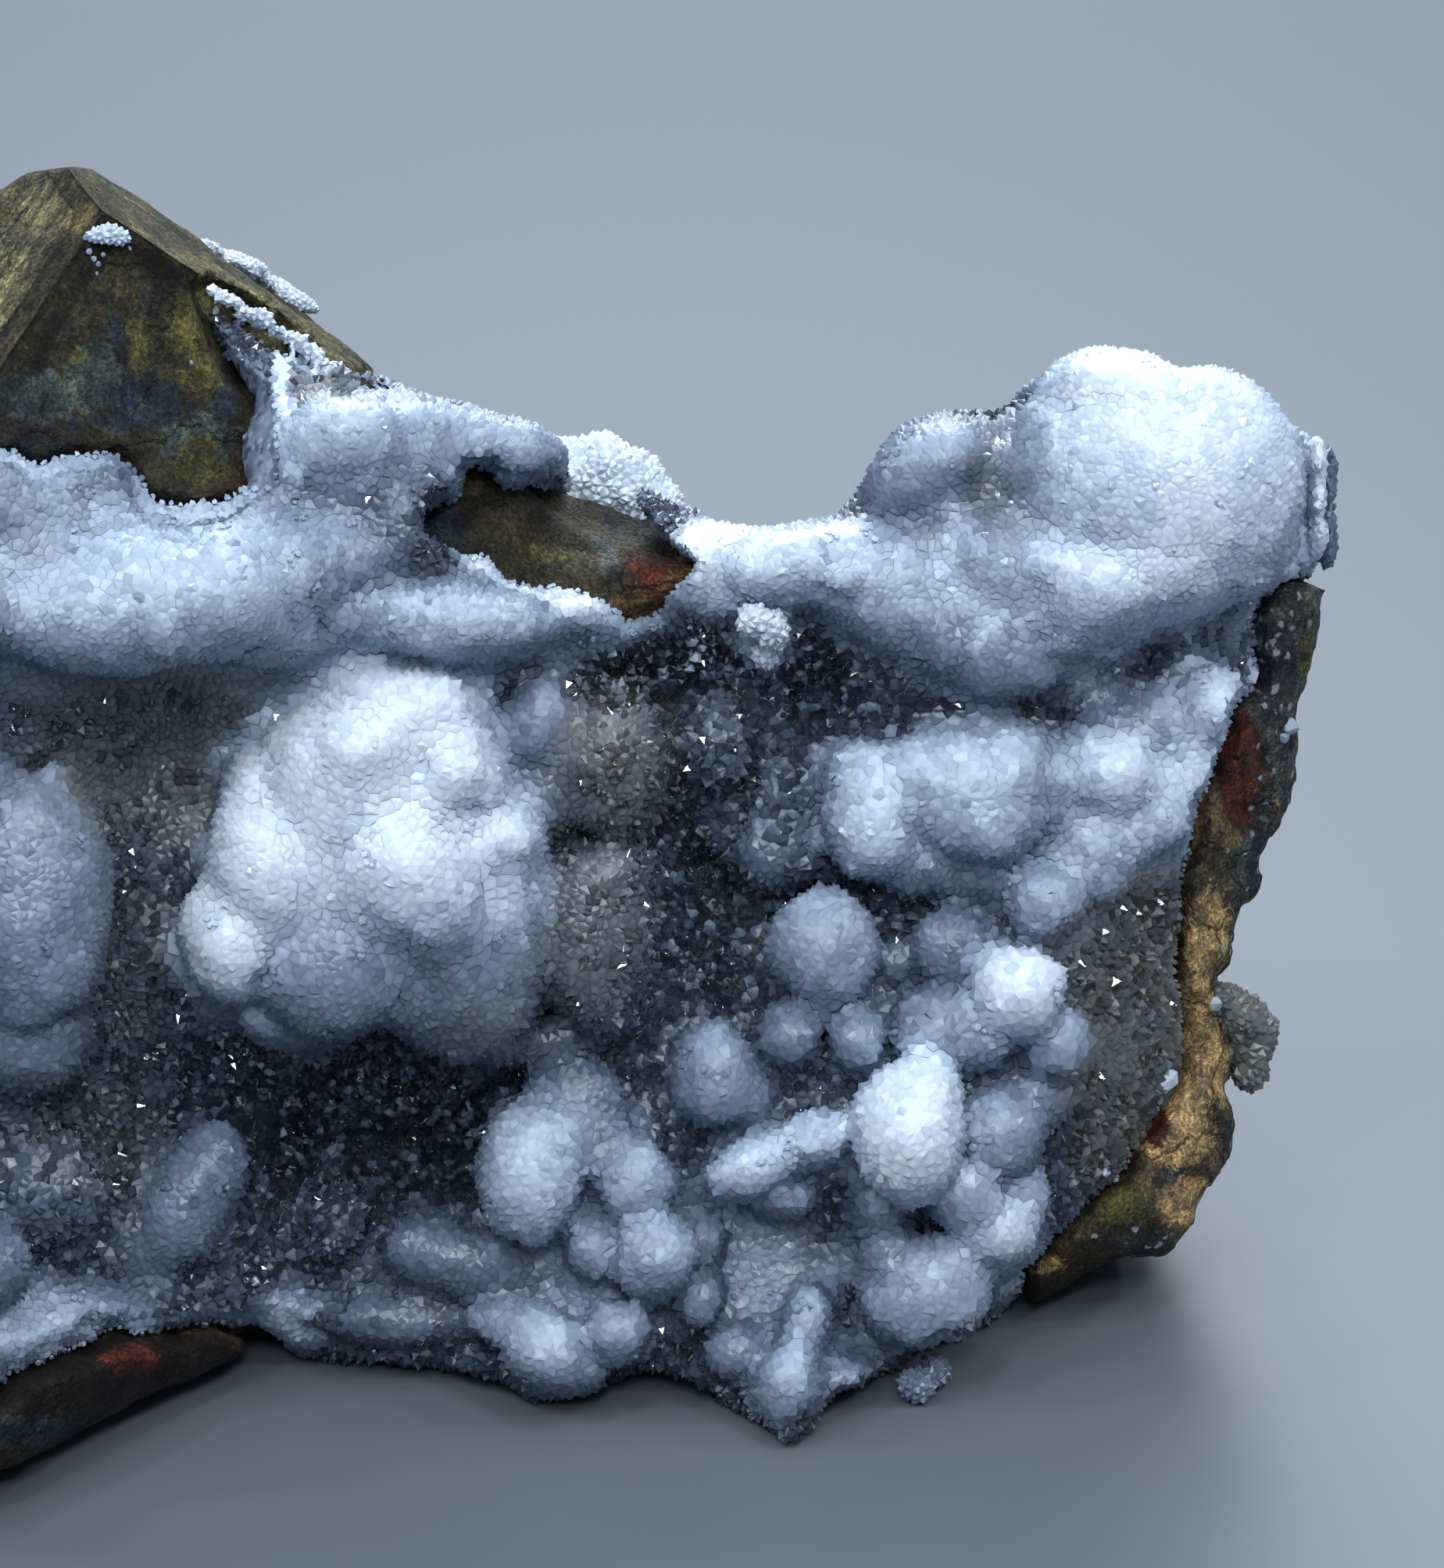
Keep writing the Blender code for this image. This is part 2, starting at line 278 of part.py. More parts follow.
# the broken faces of the back and the ends: outward direction and a point (mm)
BACK = [plane_at(*p) for p in (
    ((0.06, 1, 0.04), (0, 57, 30)), ((0.52, 1, 0.12), (30, 53, 30)), ((-0.55, 1, 0.12), (-46, 46, 30)), ((0.12, 1, 0.85), (-10, 47, 58)),
    ((0.55, 0.7, 0.75), (33, 43, 56)), ((-0.9, 0.42, 0.25), (-69, 25, 35)), ((0.1, 1, -0.75), (-10, 53, 7)), ((-0.25, 0.6, 1), (-35, 30, 78)),
    ((0.9, 0.5, -0.35), (41, 40, 30)), ((-1, 0.1, -0.4), (-70, 10, 8)))]


def ellipsoid(x, y, z, centre, ru, rv, rd, turn=0.0):
    """Distance-like field of a lump that faces the eye; the first two radii are drawing units."""
    k = (centre[1] - EYE[1]) / (COS * FOCAL)
    radii = (ru * k, rv * k, rd)
    a = math.radians(turn)
    right, up, away = np.array([1, 0, 0.0]), np.array([0, SIN, COS]), np.array([0, COS, -SIN])
    axes = (math.cos(a) * right - math.sin(a) * up, math.sin(a) * right + math.cos(a) * up, away)
    q = (x - centre[0], y - centre[1], z - centre[2])
    e = sum(((q[0] * n[0] + q[1] * n[1] + q[2] * n[2]) / r) ** 2 for n, r in zip(axes, radii))
    return (np.sqrt(e) - 1) * min(radii)


def solids(x, y, z):
    """Fields of the rock and of the crust before the rock is cut out of it."""
    u, v = project(x, y, z)
    k = (y - EYE[1]) / (COS * FOCAL)
    face = look_up(FACE, u, v)
    front = (face - y) * look_up(STEEP, u, v)
    behind = np.maximum(0, y - face - 5.0)
    soft = ramp(0, 10, behind)
    side = (look_up(SIDE, u, v) * (1 - soft) + look_up(SIDE_SOFT, u, v) * soft) * k + BACK_TAPER * behind
    uneven = noise(x, y, z, 9, 1) * 0.9 + noise(x, y, z, 4.1, 2) * 0.35
    body = smooth_max(front - 0.5 * uneven * (front < 3), side, NOSE_ROUND)
    body = smooth_max(body, np.minimum(look_up(UNDER_LIP, u, v) * k, face + 7.0 - y), 0.8)
    broken = np.max([x * n[0] + y * n[1] + z * n[2] - d for n, d in BACK], axis=0)
    broken = broken + noise(x, y, z, 13, 5) * 1.6 + noise(x, y, z, 5.3, 6) * 0.7
    body = np.maximum(np.maximum(body, broken), -z)

    fine = noise(x, y, z, 3.1, 8) * 0.25
    peak = np.max([x * n[0] + y * n[1] + z * n[2] - d + a * fine for (n, d), a in PEAK], axis=0)
    peak = peak - 7.0 * ramp(455, 560, u) - 60.0 * ramp(560, 900, u) - 9.0 * ramp(600, 720, v) - 40.0 * ramp(720, 1100, v)
    over = y - (face + CRUST_WRAP)
    t = np.clip(((u - 262) * 243 + (v - 360) * 124) / (243 * 243 + 124 * 124), 0, 1)
    strip = ramp(75, 30, np.hypot(u - 262 - 243 * t, v - 360 - 124 * t))
    crest = ramp(75, 35, np.hypot(u - 850, v - 664))
    thick = CRUST_THICKNESS * (1 - 0.8 * strip)
    under = thick * ramp(1.2 - strip, -1.2 + strip, np.maximum(look_up(EDGE, u, v) * k, over))
    rock = np.maximum(np.maximum(body + under + fine * 0.8, peak), -z)

    lumps = np.full(x.shape, 1e3, np.float32)
    for lu, lv, ru, rv, dy, rd, turn, *_ in LUMPS:
        depth = float(look_up(FACE, np.float64(lu), np.float64(lv))) + dy - LUMP_RISE
        lumps = smooth_min(lumps, ellipsoid(x, y, z, place(lu, lv, depth), ru, rv, rd, turn), LUMP_BLEND)
    lumps = smooth_max(lumps, side - 0.2, 0.6)
    crust = smooth_min(body, lumps, LUMP_BLEND)
    ragged = noise(x, y, z, 3.3, 21) * 0.3 * (1 - 0.7 * np.maximum(strip, crest))
    slope = 0.20 * (1 - crest) * (1 - strip) + 0.5 * ramp(520, 400, u) * ramp(440, 500, v)
    edge = look_up(BARE, u, v) * k + slope * (thick - np.clip(-body, 0, thick)) + ragged
    crust = np.max([crust, edge, over + ragged, -z], axis=0)
    return rock, crust


# ---------------------------------------------------------------- meshes
def sample_grid(low, high, cell):
    axes = [np.arange(a, b + cell, cell) for a, b in zip(low, high)]
    return [g.astype(np.float32) for g in np.meshgrid(*axes, indexing="ij")]


def settled(field):
    """The field with no square of the grid inside at two opposite corners only, so that no edge is shared by four faces."""
    field = field.copy()
    for _ in range(12):
        changed = False
        for a, b in ((0, 1), (0, 2), (1, 2)):
            views = []
            for da, db in ((0, 0), (1, 0), (0, 1), (1, 1)):
                part = [slice(None)] * 3
                part[a] = slice(1, None) if da else slice(None, -1)
                part[b] = slice(1, None) if db else slice(None, -1)
                views.append(field[tuple(part)])
            for p, q, r, s in ((0, 3, 1, 2), (1, 2, 0, 3)):
                bad = (views[p] < 0) & (views[q] < 0) & (views[r] >= 0) & (views[s] >= 0)
                if bad.any():
                    views[r][bad & (views[r] <= views[s])] = -1e-3
                    views[s][bad & (views[s] < views[r]) & (views[r] >= 0)] = -1e-3
                    changed = True
        if not changed:
            break
    return field


def surface(field, low, cell):
    """Closed quad mesh round the inside (field < 0), one vertex in every cell that the surface crosses."""
    field = settled(field)
    inside = field < 0
    count = [n - 1 for n in field.shape]
    corners = [(a, b, c) for a in (0, 1) for b in (0, 1) for c in (0, 1)]
    filled = sum(inside[a:a + count[0], b:b + count[1], c:c + count[2]].astype(np.int8) for a, b, c in corners)
    mixed = (filled > 0) & (filled < 8)
    cells = np.argwhere(mixed)
    index = np.full(mixed.shape, -1, np.int64)
    index[mixed] = np.arange(len(cells))
    total, hits = np.zeros((len(cells), 3)), np.zeros(len(cells))
    for first in corners:
        for axis in range(3):
            if first[axis]:
                continue
            second = tuple(1 if n == axis else c for n, c in enumerate(first))
            f0, f1 = (field[tuple((cells + np.array(c)).T)].astype(float) for c in (first, second))
            crossed = (f0 < 0) != (f1 < 0)
            point = np.tile(np.array(first, float), (len(cells), 1))
            point[:, axis] = np.where(crossed, f0 / np.where(crossed, f0 - f1, 1), 0)
            total += point * crossed[:, None]
            hits += crossed
    verts = (cells + total / hits[:, None]) * cell + np.asarray(low, float)
    quads = []
    for axis in range(3):
        b, c = (axis + 1) % 3, (axis + 2) % 3
        here = [slice(1, -1)] * 3
        there = [slice(1, -1)] * 3
        here[axis], there[axis] = slice(None, -1), slice(1, None)
        at = np.argwhere(inside[tuple(here)] != inside[tuple(there)])
        at[:, b] += 1
        at[:, c] += 1
        ring = []
        for db, dc in ((-1, -1), (0, -1), (0, 0), (-1, 0)):
            q = at.copy()
            q[:, b] += db
            q[:, c] += dc
            ring.append(index[tuple(q.T)])
        ring = np.stack(ring, 1)
        turned = ~inside[tuple(at.T)]
        ring[turned] = ring[turned][:, ::-1]
        quads.append(ring)
    return verts, np.concatenate(quads)


def new_object(name, verts, faces):
    mesh = bpy.data.meshes.new(name)
    mesh.from_pydata(np.asarray(verts, float).tolist(), [], [list(map(int, f)) for f in faces])
    mesh.update()
    obj = bpy.data.objects.new(name, mesh)
    bpy.context.scene.collection.objects.link(obj)
    return obj


def evaluated(obj):
    """Points and triangles of an object with its modifiers, then the object is removed."""
    bpy.context.view_layer.update()
    mesh = bpy.data.meshes.new_from_object(obj.evaluated_get(bpy.context.evaluated_depsgraph_get()))
    bm = bmesh.new()
    bm.from_mesh(mesh)
    bmesh.ops.triangulate(bm, faces=bm.faces)
    verts = np.array([v.co[:] for v in bm.verts], float)
    faces = np.array([[v.index for v in f.verts] for f in bm.faces], int)
    bm.free()
    bpy.data.objects.remove(obj)
    return verts, faces


def largest(verts, faces):
    """The biggest part of a mesh whose triangles hang together by their edges."""
    edges = np.sort(faces[:, [[0, 1], [1, 2], [2, 0]]].reshape(-1, 2), axis=1)
    _, edge = np.unique(edges, axis=0, return_inverse=True)
    edge = edge.reshape(-1, 3)
    label = np.arange(len(faces))
    while True:
        low = np.full(edge.max() + 1, len(faces))
        np.minimum.at(low, edge.ravel(), np.repeat(label, 3))
        new = np.minimum(label, low[edge].min(axis=1))
        new = new[new]
        if (new == label).all():
            break
        label = new
    names, counts = np.unique(label, return_counts=True)
    faces = faces[label == names[counts.argmax()]]
    used, index = np.unique(faces, return_inverse=True)
    return verts[used], index.reshape(-1, 3)


def thinned(verts, faces, triangles):
    """The same closed surface with about this many triangles, and its underside flat on z = 0."""
    obj = new_object("work", verts, faces)
    thin = obj.modifiers.new("thin", "DECIMATE")
    thin.ratio = triangles / len(faces)
    verts, faces = largest(*evaluated(obj))
    verts[np.abs(verts[:, 2]) < 0.25, 2] = 0.0
    return verts, faces


def pushed_out(verts, faces, distance):
    """The surface moved outwards along its vertex normals."""
    corner = verts[faces]
    flat = np.cross(corner[:, 1] - corner[:, 0], corner[:, 2] - corner[:, 0])
    flat /= np.maximum(np.linalg.norm(flat, axis=1), 1e-12)[:, None]
    normal = np.zeros_like(verts)
    for c in range(3):
        a, b = corner[:, (c + 1) % 3] - corner[:, c], corner[:, (c + 2) % 3] - corner[:, c]
        cosine = (a * b).sum(1) / np.maximum(np.linalg.norm(a, axis=1) * np.linalg.norm(b, axis=1), 1e-12)
        np.add.at(normal, faces[:, c], flat * np.arccos(np.clip(cosine, -1, 1))[:, None])
    normal /= np.maximum(np.linalg.norm(normal, axis=1), 1e-12)[:, None]
    return verts + normal * distance


def cut(verts, faces, cutters):
    """What is left of a solid once the cutters are taken out of it, the biggest body only."""
    obj = new_object("work", verts, faces)
    tools = []
    for n, (cv, cf) in enumerate(cutters):
        tool = new_object("cutter%d" % n, cv, cf)
        tool.hide_render = True
        tool.display_type = "WIRE"
        take = obj.modifiers.new("cut%d" % n, "BOOLEAN")
        take.operation, take.solver, take.object = "DIFFERENCE", "EXACT", tool
        tools.append(tool)
    result = largest(*evaluated(obj))
    for tool in tools:
        bpy.data.objects.remove(tool)
    return result


def material(name, colour, roughness, **more):
    made = bpy.data.materials.new(name)
    made.use_nodes = True
    shader = made.node_tree.nodes["Principled BSDF"]
    shader.inputs["Base Color"].default_value = (*colour, 1)
    shader.inputs["Roughness"].default_value = roughness
    for key, value in more.items():
        shader.inputs[key].default_value = value
    return made


def finish(name, verts, faces, made):
    """The piece in metres, its footprint centred on the origin."""
    moved = (np.asarray(verts, float) - np.array([*CENTRE, 0.0])) * 0.001
    obj = new_object(name, moved, faces)
    obj.data.materials.append(made)
    for polygon in obj.data.polygons:
        polygon.use_smooth = True
    return obj


def main():
    for obj in list(bpy.data.objects):
        bpy.data.objects.remove(obj)

    low, high = (-80.3, -23.7, -2.1), (46.0, 64.0, 86.0)
    x, y, z = sample_grid(low, high, CELL)
    rock_field, crust_field = solids(x, y, z)
    rock = thinned(*largest_of_quads(*surface(rock_field, low, CELL)), ROCK_TRIANGLES)
    crust = thinned(*largest_of_quads(*surface(crust_field, low, CELL)), CRUST_TRIANGLES)
    rock_cutter = (pushed_out(*rock, GAP), rock[1])
    crust = cut(*crust, [rock_cutter])

    finish("matrix_rock", *rock, material("matrix_rock", (0.115, 0.085, 0.055), 0.75))
    finish("druzy_quartz_crust", *crust, material("druzy_quartz_crust", (0.62, 0.68, 0.78), 0.25))

    crust_cutter = (pushed_out(*crust, 0.35), crust[1])
    for name, lumps in PATCHES.items():
        centres = np.array([place(u, v, d) for u, v, d, *_ in lumps])
        reach = max(max(ru * 0.06, rv * 0.06, rd) for *_, ru, rv, rd in lumps) + 1.2
        low = centres.min(axis=0) - reach
        x, y, z = sample_grid(low, centres.max(axis=0) + reach, 0.45)
        field = np.full(x.shape, 1e3, np.float32)
        for centre, (_, _, _, ru, rv, rd) in zip(centres, lumps):
            field = smooth_min(field, ellipsoid(x, y, z, centre, ru, rv, rd), 0.35)
        field = np.maximum(field + noise(x, y, z, 1.1, 31) * 0.14, -z)
        piece = thinned(*largest_of_quads(*surface(field, low, 0.45)), PATCH_TRIANGLES)
        piece = cut(*piece, [rock_cutter, crust_cutter])
        finish(name, *piece, material(name, (0.66, 0.72, 0.80), 0.22))


def largest_of_quads(verts, quads):
    """The biggest connected part of a quad mesh, as triangles."""
    return largest(verts, np.concatenate([quads[:, [0, 1, 2]], quads[:, [0, 2, 3]]]))


main()
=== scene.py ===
import math

import bpy
import numpy as np
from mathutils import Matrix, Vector
from mathutils.bvhtree import BVHTree
from mathutils.kdtree import KDTree


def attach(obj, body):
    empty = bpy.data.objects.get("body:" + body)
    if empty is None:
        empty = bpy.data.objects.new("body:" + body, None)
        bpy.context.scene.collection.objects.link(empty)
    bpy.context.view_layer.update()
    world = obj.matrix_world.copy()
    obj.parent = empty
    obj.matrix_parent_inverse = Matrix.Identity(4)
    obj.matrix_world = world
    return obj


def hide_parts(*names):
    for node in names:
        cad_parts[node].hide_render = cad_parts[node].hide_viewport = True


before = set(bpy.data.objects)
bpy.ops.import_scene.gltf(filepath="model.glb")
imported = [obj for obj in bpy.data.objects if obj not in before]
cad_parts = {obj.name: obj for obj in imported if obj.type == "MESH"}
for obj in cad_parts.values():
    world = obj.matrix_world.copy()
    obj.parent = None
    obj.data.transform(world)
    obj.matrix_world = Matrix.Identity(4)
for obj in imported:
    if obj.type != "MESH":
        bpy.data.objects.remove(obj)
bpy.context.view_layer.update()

rng = np.random.default_rng(20251)

# ---------------------------------------------------------------- the front drawing, as in the CAD part (mm, drawing units)
UNIT = 0.05
CRUST_THICKNESS, CRUST_WRAP, GAP = 3.0, 9.0, 0.3
NOSE_ROUND, LUMP_BLEND, LUMP_RISE, BACK_TAPER = 1.3, 0.8, 0.6, 0.30
CENTRE = (-16.665, 21.97)
PITCH = math.radians(18.0)
COS, SIN = math.cos(PITCH), math.sin(PITCH)
FOCAL = 6000.0
MID_U, MID_V = 924.0, 1003.5
EYE = np.array([0.0, -272.15, 133.25])
FIRST_U, FIRST_V, STEP, NU, NV = -760.0, 60.0, 5.0, 521, 402

OUTLINE = [(-520,760),(-470,610),(-380,480),(-250,365),(-120,292),(0,240),(35,218),(60,214),(100,212),(130,222),(160,243),(215,277),(265,318),(330,360),
 (390,405),(440,440),(505,490),(520,495),(600,525),(688,548),(708,566),(745,604),(800,622),(868,650),(930,672),(1000,690),(1060,670),(1105,640),(1120,600),(1150,565),
 (1190,535),(1230,530),(1290,525),(1310,500),(1345,480),(1380,455),(1410,447),(1470,450),(1495,472),(1550,475),(1600,495),(1620,520),(1650,550),
 (1690,570),(1706,592),(1712,625),(1704,660),(1700,740),(1693,770),(1690,800),(1678,850),(1673,880),(1662,895),(1662,930),(1660,1000),(1648,1040),(1630,1070),
 (1613,1100),(1613,1140),(1588,1158),(1580,1190),(1577,1229),(1560,1250),(1572,1300),(1580,1350),(1575,1400),(1585,1440),(1573,1480),(1548,1520),
 (1530,1564),(1495,1607),(1428,1609),(1396,1622),(1361,1647),(1307,1680),(1258,1692),(1243,1712),(1225,1729),(1154,1787),(1127,1796),(1087,1813),(1046,1834),(1026,1886),
 (1018,2030),(400,2050),(-100,2060),(-330,2040),(-430,1960),(-500,1850),(-535,1700),(-550,1450),(-555,1200),(-548,950)]
LIP = [(-900,2300),(-260,2300),(-150,1960),(0,1881),(75,1847),(189,1784),(258,1761),(321,1732),(402,1735),(476,1741),(511,1746),(600,1751),(645,1764),(686,1787),(734,1773),
 (779,1764),(810,1748),(837,1751),(868,1755),(908,1773),(948,1809),(994,1850),(1024,1886),(1060,2300),(1900,2300),(1900,-200),(-900,-200)]
COVER = [(-455,1200),(-445,1000),(-400,850),(-310,745),(-190,665),(-80,605),(-30,570),(0,556),(30,566),(51,578),(75,568),(105,566),(150,560),(172,575),(190,600),(205,626),(245,634),(285,631),(303,615),(311,590),
 (313,560),(308,520),(292,480),(283,450),(272,420),(266,374),(300,386),(350,413),(400,443),(440,470),(480,478),(505,484),(530,470),(600,480),(700,500),(770,550),(930,630),(1000,650),(1080,620),(1140,530),(1290,480),(1380,420),(1500,415),(1640,480),(1704,540),
 (1684,575),(1681,652),(1694,716),(1680,741),(1657,745),(1641,749),(1615,775),(1609,802),(1607,833),(1613,850),(1612,880),(1600,890),(1584,913),(1576,940),(1561,971),(1553,1001),(1538,1036),(1532,1066),(1525,1097),(1513,1130),
 (1510,1189),(1508,1247),(1519,1288),(1514,1337),(1516,1377),(1486,1430),(1452,1479),(1440,1515),(1414,1529),(1379,1560),(1356,1582),(1338,1604),(1316,1625),(1305,1660),(1280,1700),(1240,1725),(1211,1718),(1162,1745),(1124,1772),
 (1081,1788),(1054,1820),(1034,1848),(1015,1960),(340,1960),(333,1728),(321,1709),(258,1709),(189,1718),(138,1718),(109,1741),(57,1758),(17,1772),(0,1798),(-40,1840),(-120,1872),(-230,1885),(-320,1860),(-390,1740),(-440,1500)]
WINDOW = [(601,599),(626,599),(632,614),(653,630),(676,622),(703,630),(730,633),(737,600),(742,540),(800,540),(812,630),(826,657),(848,683),(867,702),(883,718),(871,733),(856,752),(841,779),(806,794),(783,783),(768,764),(730,756),(691,744),
 (664,740),(642,725),(622,702),(600,712),(573,700),(545,685),(540,664),(557,645),(590,640),(596,622)]
FRONT = [
 # lower edge
 (-560,1950,2),(-430,1930,-8),(-300,1935,-14),(-150,1925,-12.5),(0,1881,-9.5),(100,1830,-4),(200,1782,3),(300,1745,9),(0,1798,-12),(100,1745,-6.5),(200,1712,-1),(300,1705,5),(-150,1850,-15),(400,1735,11.8),(550,1750,9.5),(640,1765,7),(686,1789,5.8),(780,1764,7),(850,1752,7.5),
 (950,1809,3.5),(1020,1856,0.0),(1024,1885,-2.0),(1022,1800,0.6),(215,277,23),(330,360,25),(440,440,26.5),(505,490,25),(560,510,25),(100,212,21.5),(60,214,21),(0,240,21),(-120,292,22),(680,545,25),(760,600,25.5),(880,650,25.5),(1085,1813,6),(1154,1787,7.6),(1250,1695,16),(1307,1680,17.4),(1360,1647,19),(1430,1609,18),(1500,1600,19),(1573,1480,22),(1600,1430,24),(1640,1310,25),
 # lower field
 (-430,1700,-8),(-250,1750,-11),(-100,1750,-9),(60,1690,-4),(60,1540,-1),(-200,1500,-7),(180,1650,4),(300,1600,7),(250,1500,8),(420,1640,10.5),(560,1620,9.5),(640,1680,8),
 (450,1450,16.5),(560,1420,17),(300,1400,14),(180,1380,9),(90,1350,4),(60,1200,0),(60,1060,3),(20,980,5),(-80,1150,-2),(-250,1250,-5),(-430,1300,-3),(-530,1300,6),(-100,950,3),
 (180,960,12.5),(260,1010,12.5),(160,1130,10),(240,900,11),(250,770,5.5),(120,790,4.5),(0,760,2.5),(-150,820,0),(-300,900,0),(-420,1000,2),(-530,950,10),
 # upper edge, left to right
 (-480,640,16),(-380,520,14),(-250,640,6),(-250,420,12),(-120,560,4),(0,600,4),(80,600,7),(180,640,9),(300,660,10),(380,640,11.5),(340,540,12.5),(450,560,13),(440,470,18),(520,520,19),(600,560,19),(680,600,18.5),
 (560,640,16),(450,700,11),(560,760,11),(650,760,13.5),(740,790,14.5),(700,680,17.5),(830,700,18.5),(900,720,17.5),(930,700,21),(1000,720,22),(1060,740,21),(1100,680,23),(1130,620,24),
 (820,870,21),(900,850,22),(1000,880,23),(1060,860,22),(980,800,20),(1120,800,21),(1200,760,21),(1280,820,19.5),(1360,860,20),(1330,780,18),(1480,840,22.5),(1590,860,25),
 (1230,640,22.5),(1300,560,25),(1480,620,21),(1400,520,24),(1560,520,26),(1620,600,26),(1600,720,25),(1480,730,19.5),(1400,700,20),(1690,620,28),(1690,780,28),
 # middle
 (500,830,12),(620,880,13),(400,900,12),(450,1080,9),(330,1100,9),(600,1080,10),(290,1230,8),(450,1260,9),(600,1250,10),(690,1000,14),(720,900,15.5),(785,980,14),(755,1190,12.5),(690,1350,13.5),(800,1330,14.5),
 (900,980,21),(900,1100,20.5),(900,1250,18),(960,1180,18),(930,1340,14),(960,960,19.5),(990,1090,18.5),(1040,1150,20),(1120,1020,17.5),(1250,1020,17.5),(1350,1060,18.5),(1420,990,18.5),(1555,905,21),(1530,1020,22),
 (1550,960,22),(1630,900,27),(1600,1050,26),(1570,1180,25),(1480,1180,20.5),(1400,1160,17),(1335,1160,16),(1215,1215,14.5),(1055,1210,13.5),(1130,1230,15.5),(1305,1265,12.5),(1400,1280,15),(1480,1330,19),(1540,1330,23),
 (1440,1420,17.5),(1500,1450,20),(1380,1500,15.5),(1345,1340,13),(1200,1320,12),(1095,1335,11.5),(1010,1325,12),(915,1380,11),(1000,1410,11),
 # lower middle
 (680,1500,10),(620,1600,11.5),(730,1400,12),(815,1510,8.5),(840,1600,7),(790,1700,6),(700,1725,6),(900,1560,10.5),(900,1680,7),(1010,1490,8.5),(1040,1590,10),(1040,1660,7.5),(1030,1740,4),(960,1750,4.5),(1100,1720,8.5),
 (1165,1450,8),(1275,1450,10.5),(1270,1560,11.5),(1180,1650,9),(1120,1590,9.5),(1330,1600,14.5),(1400,1570,16.5),(1220,1720,16),
]
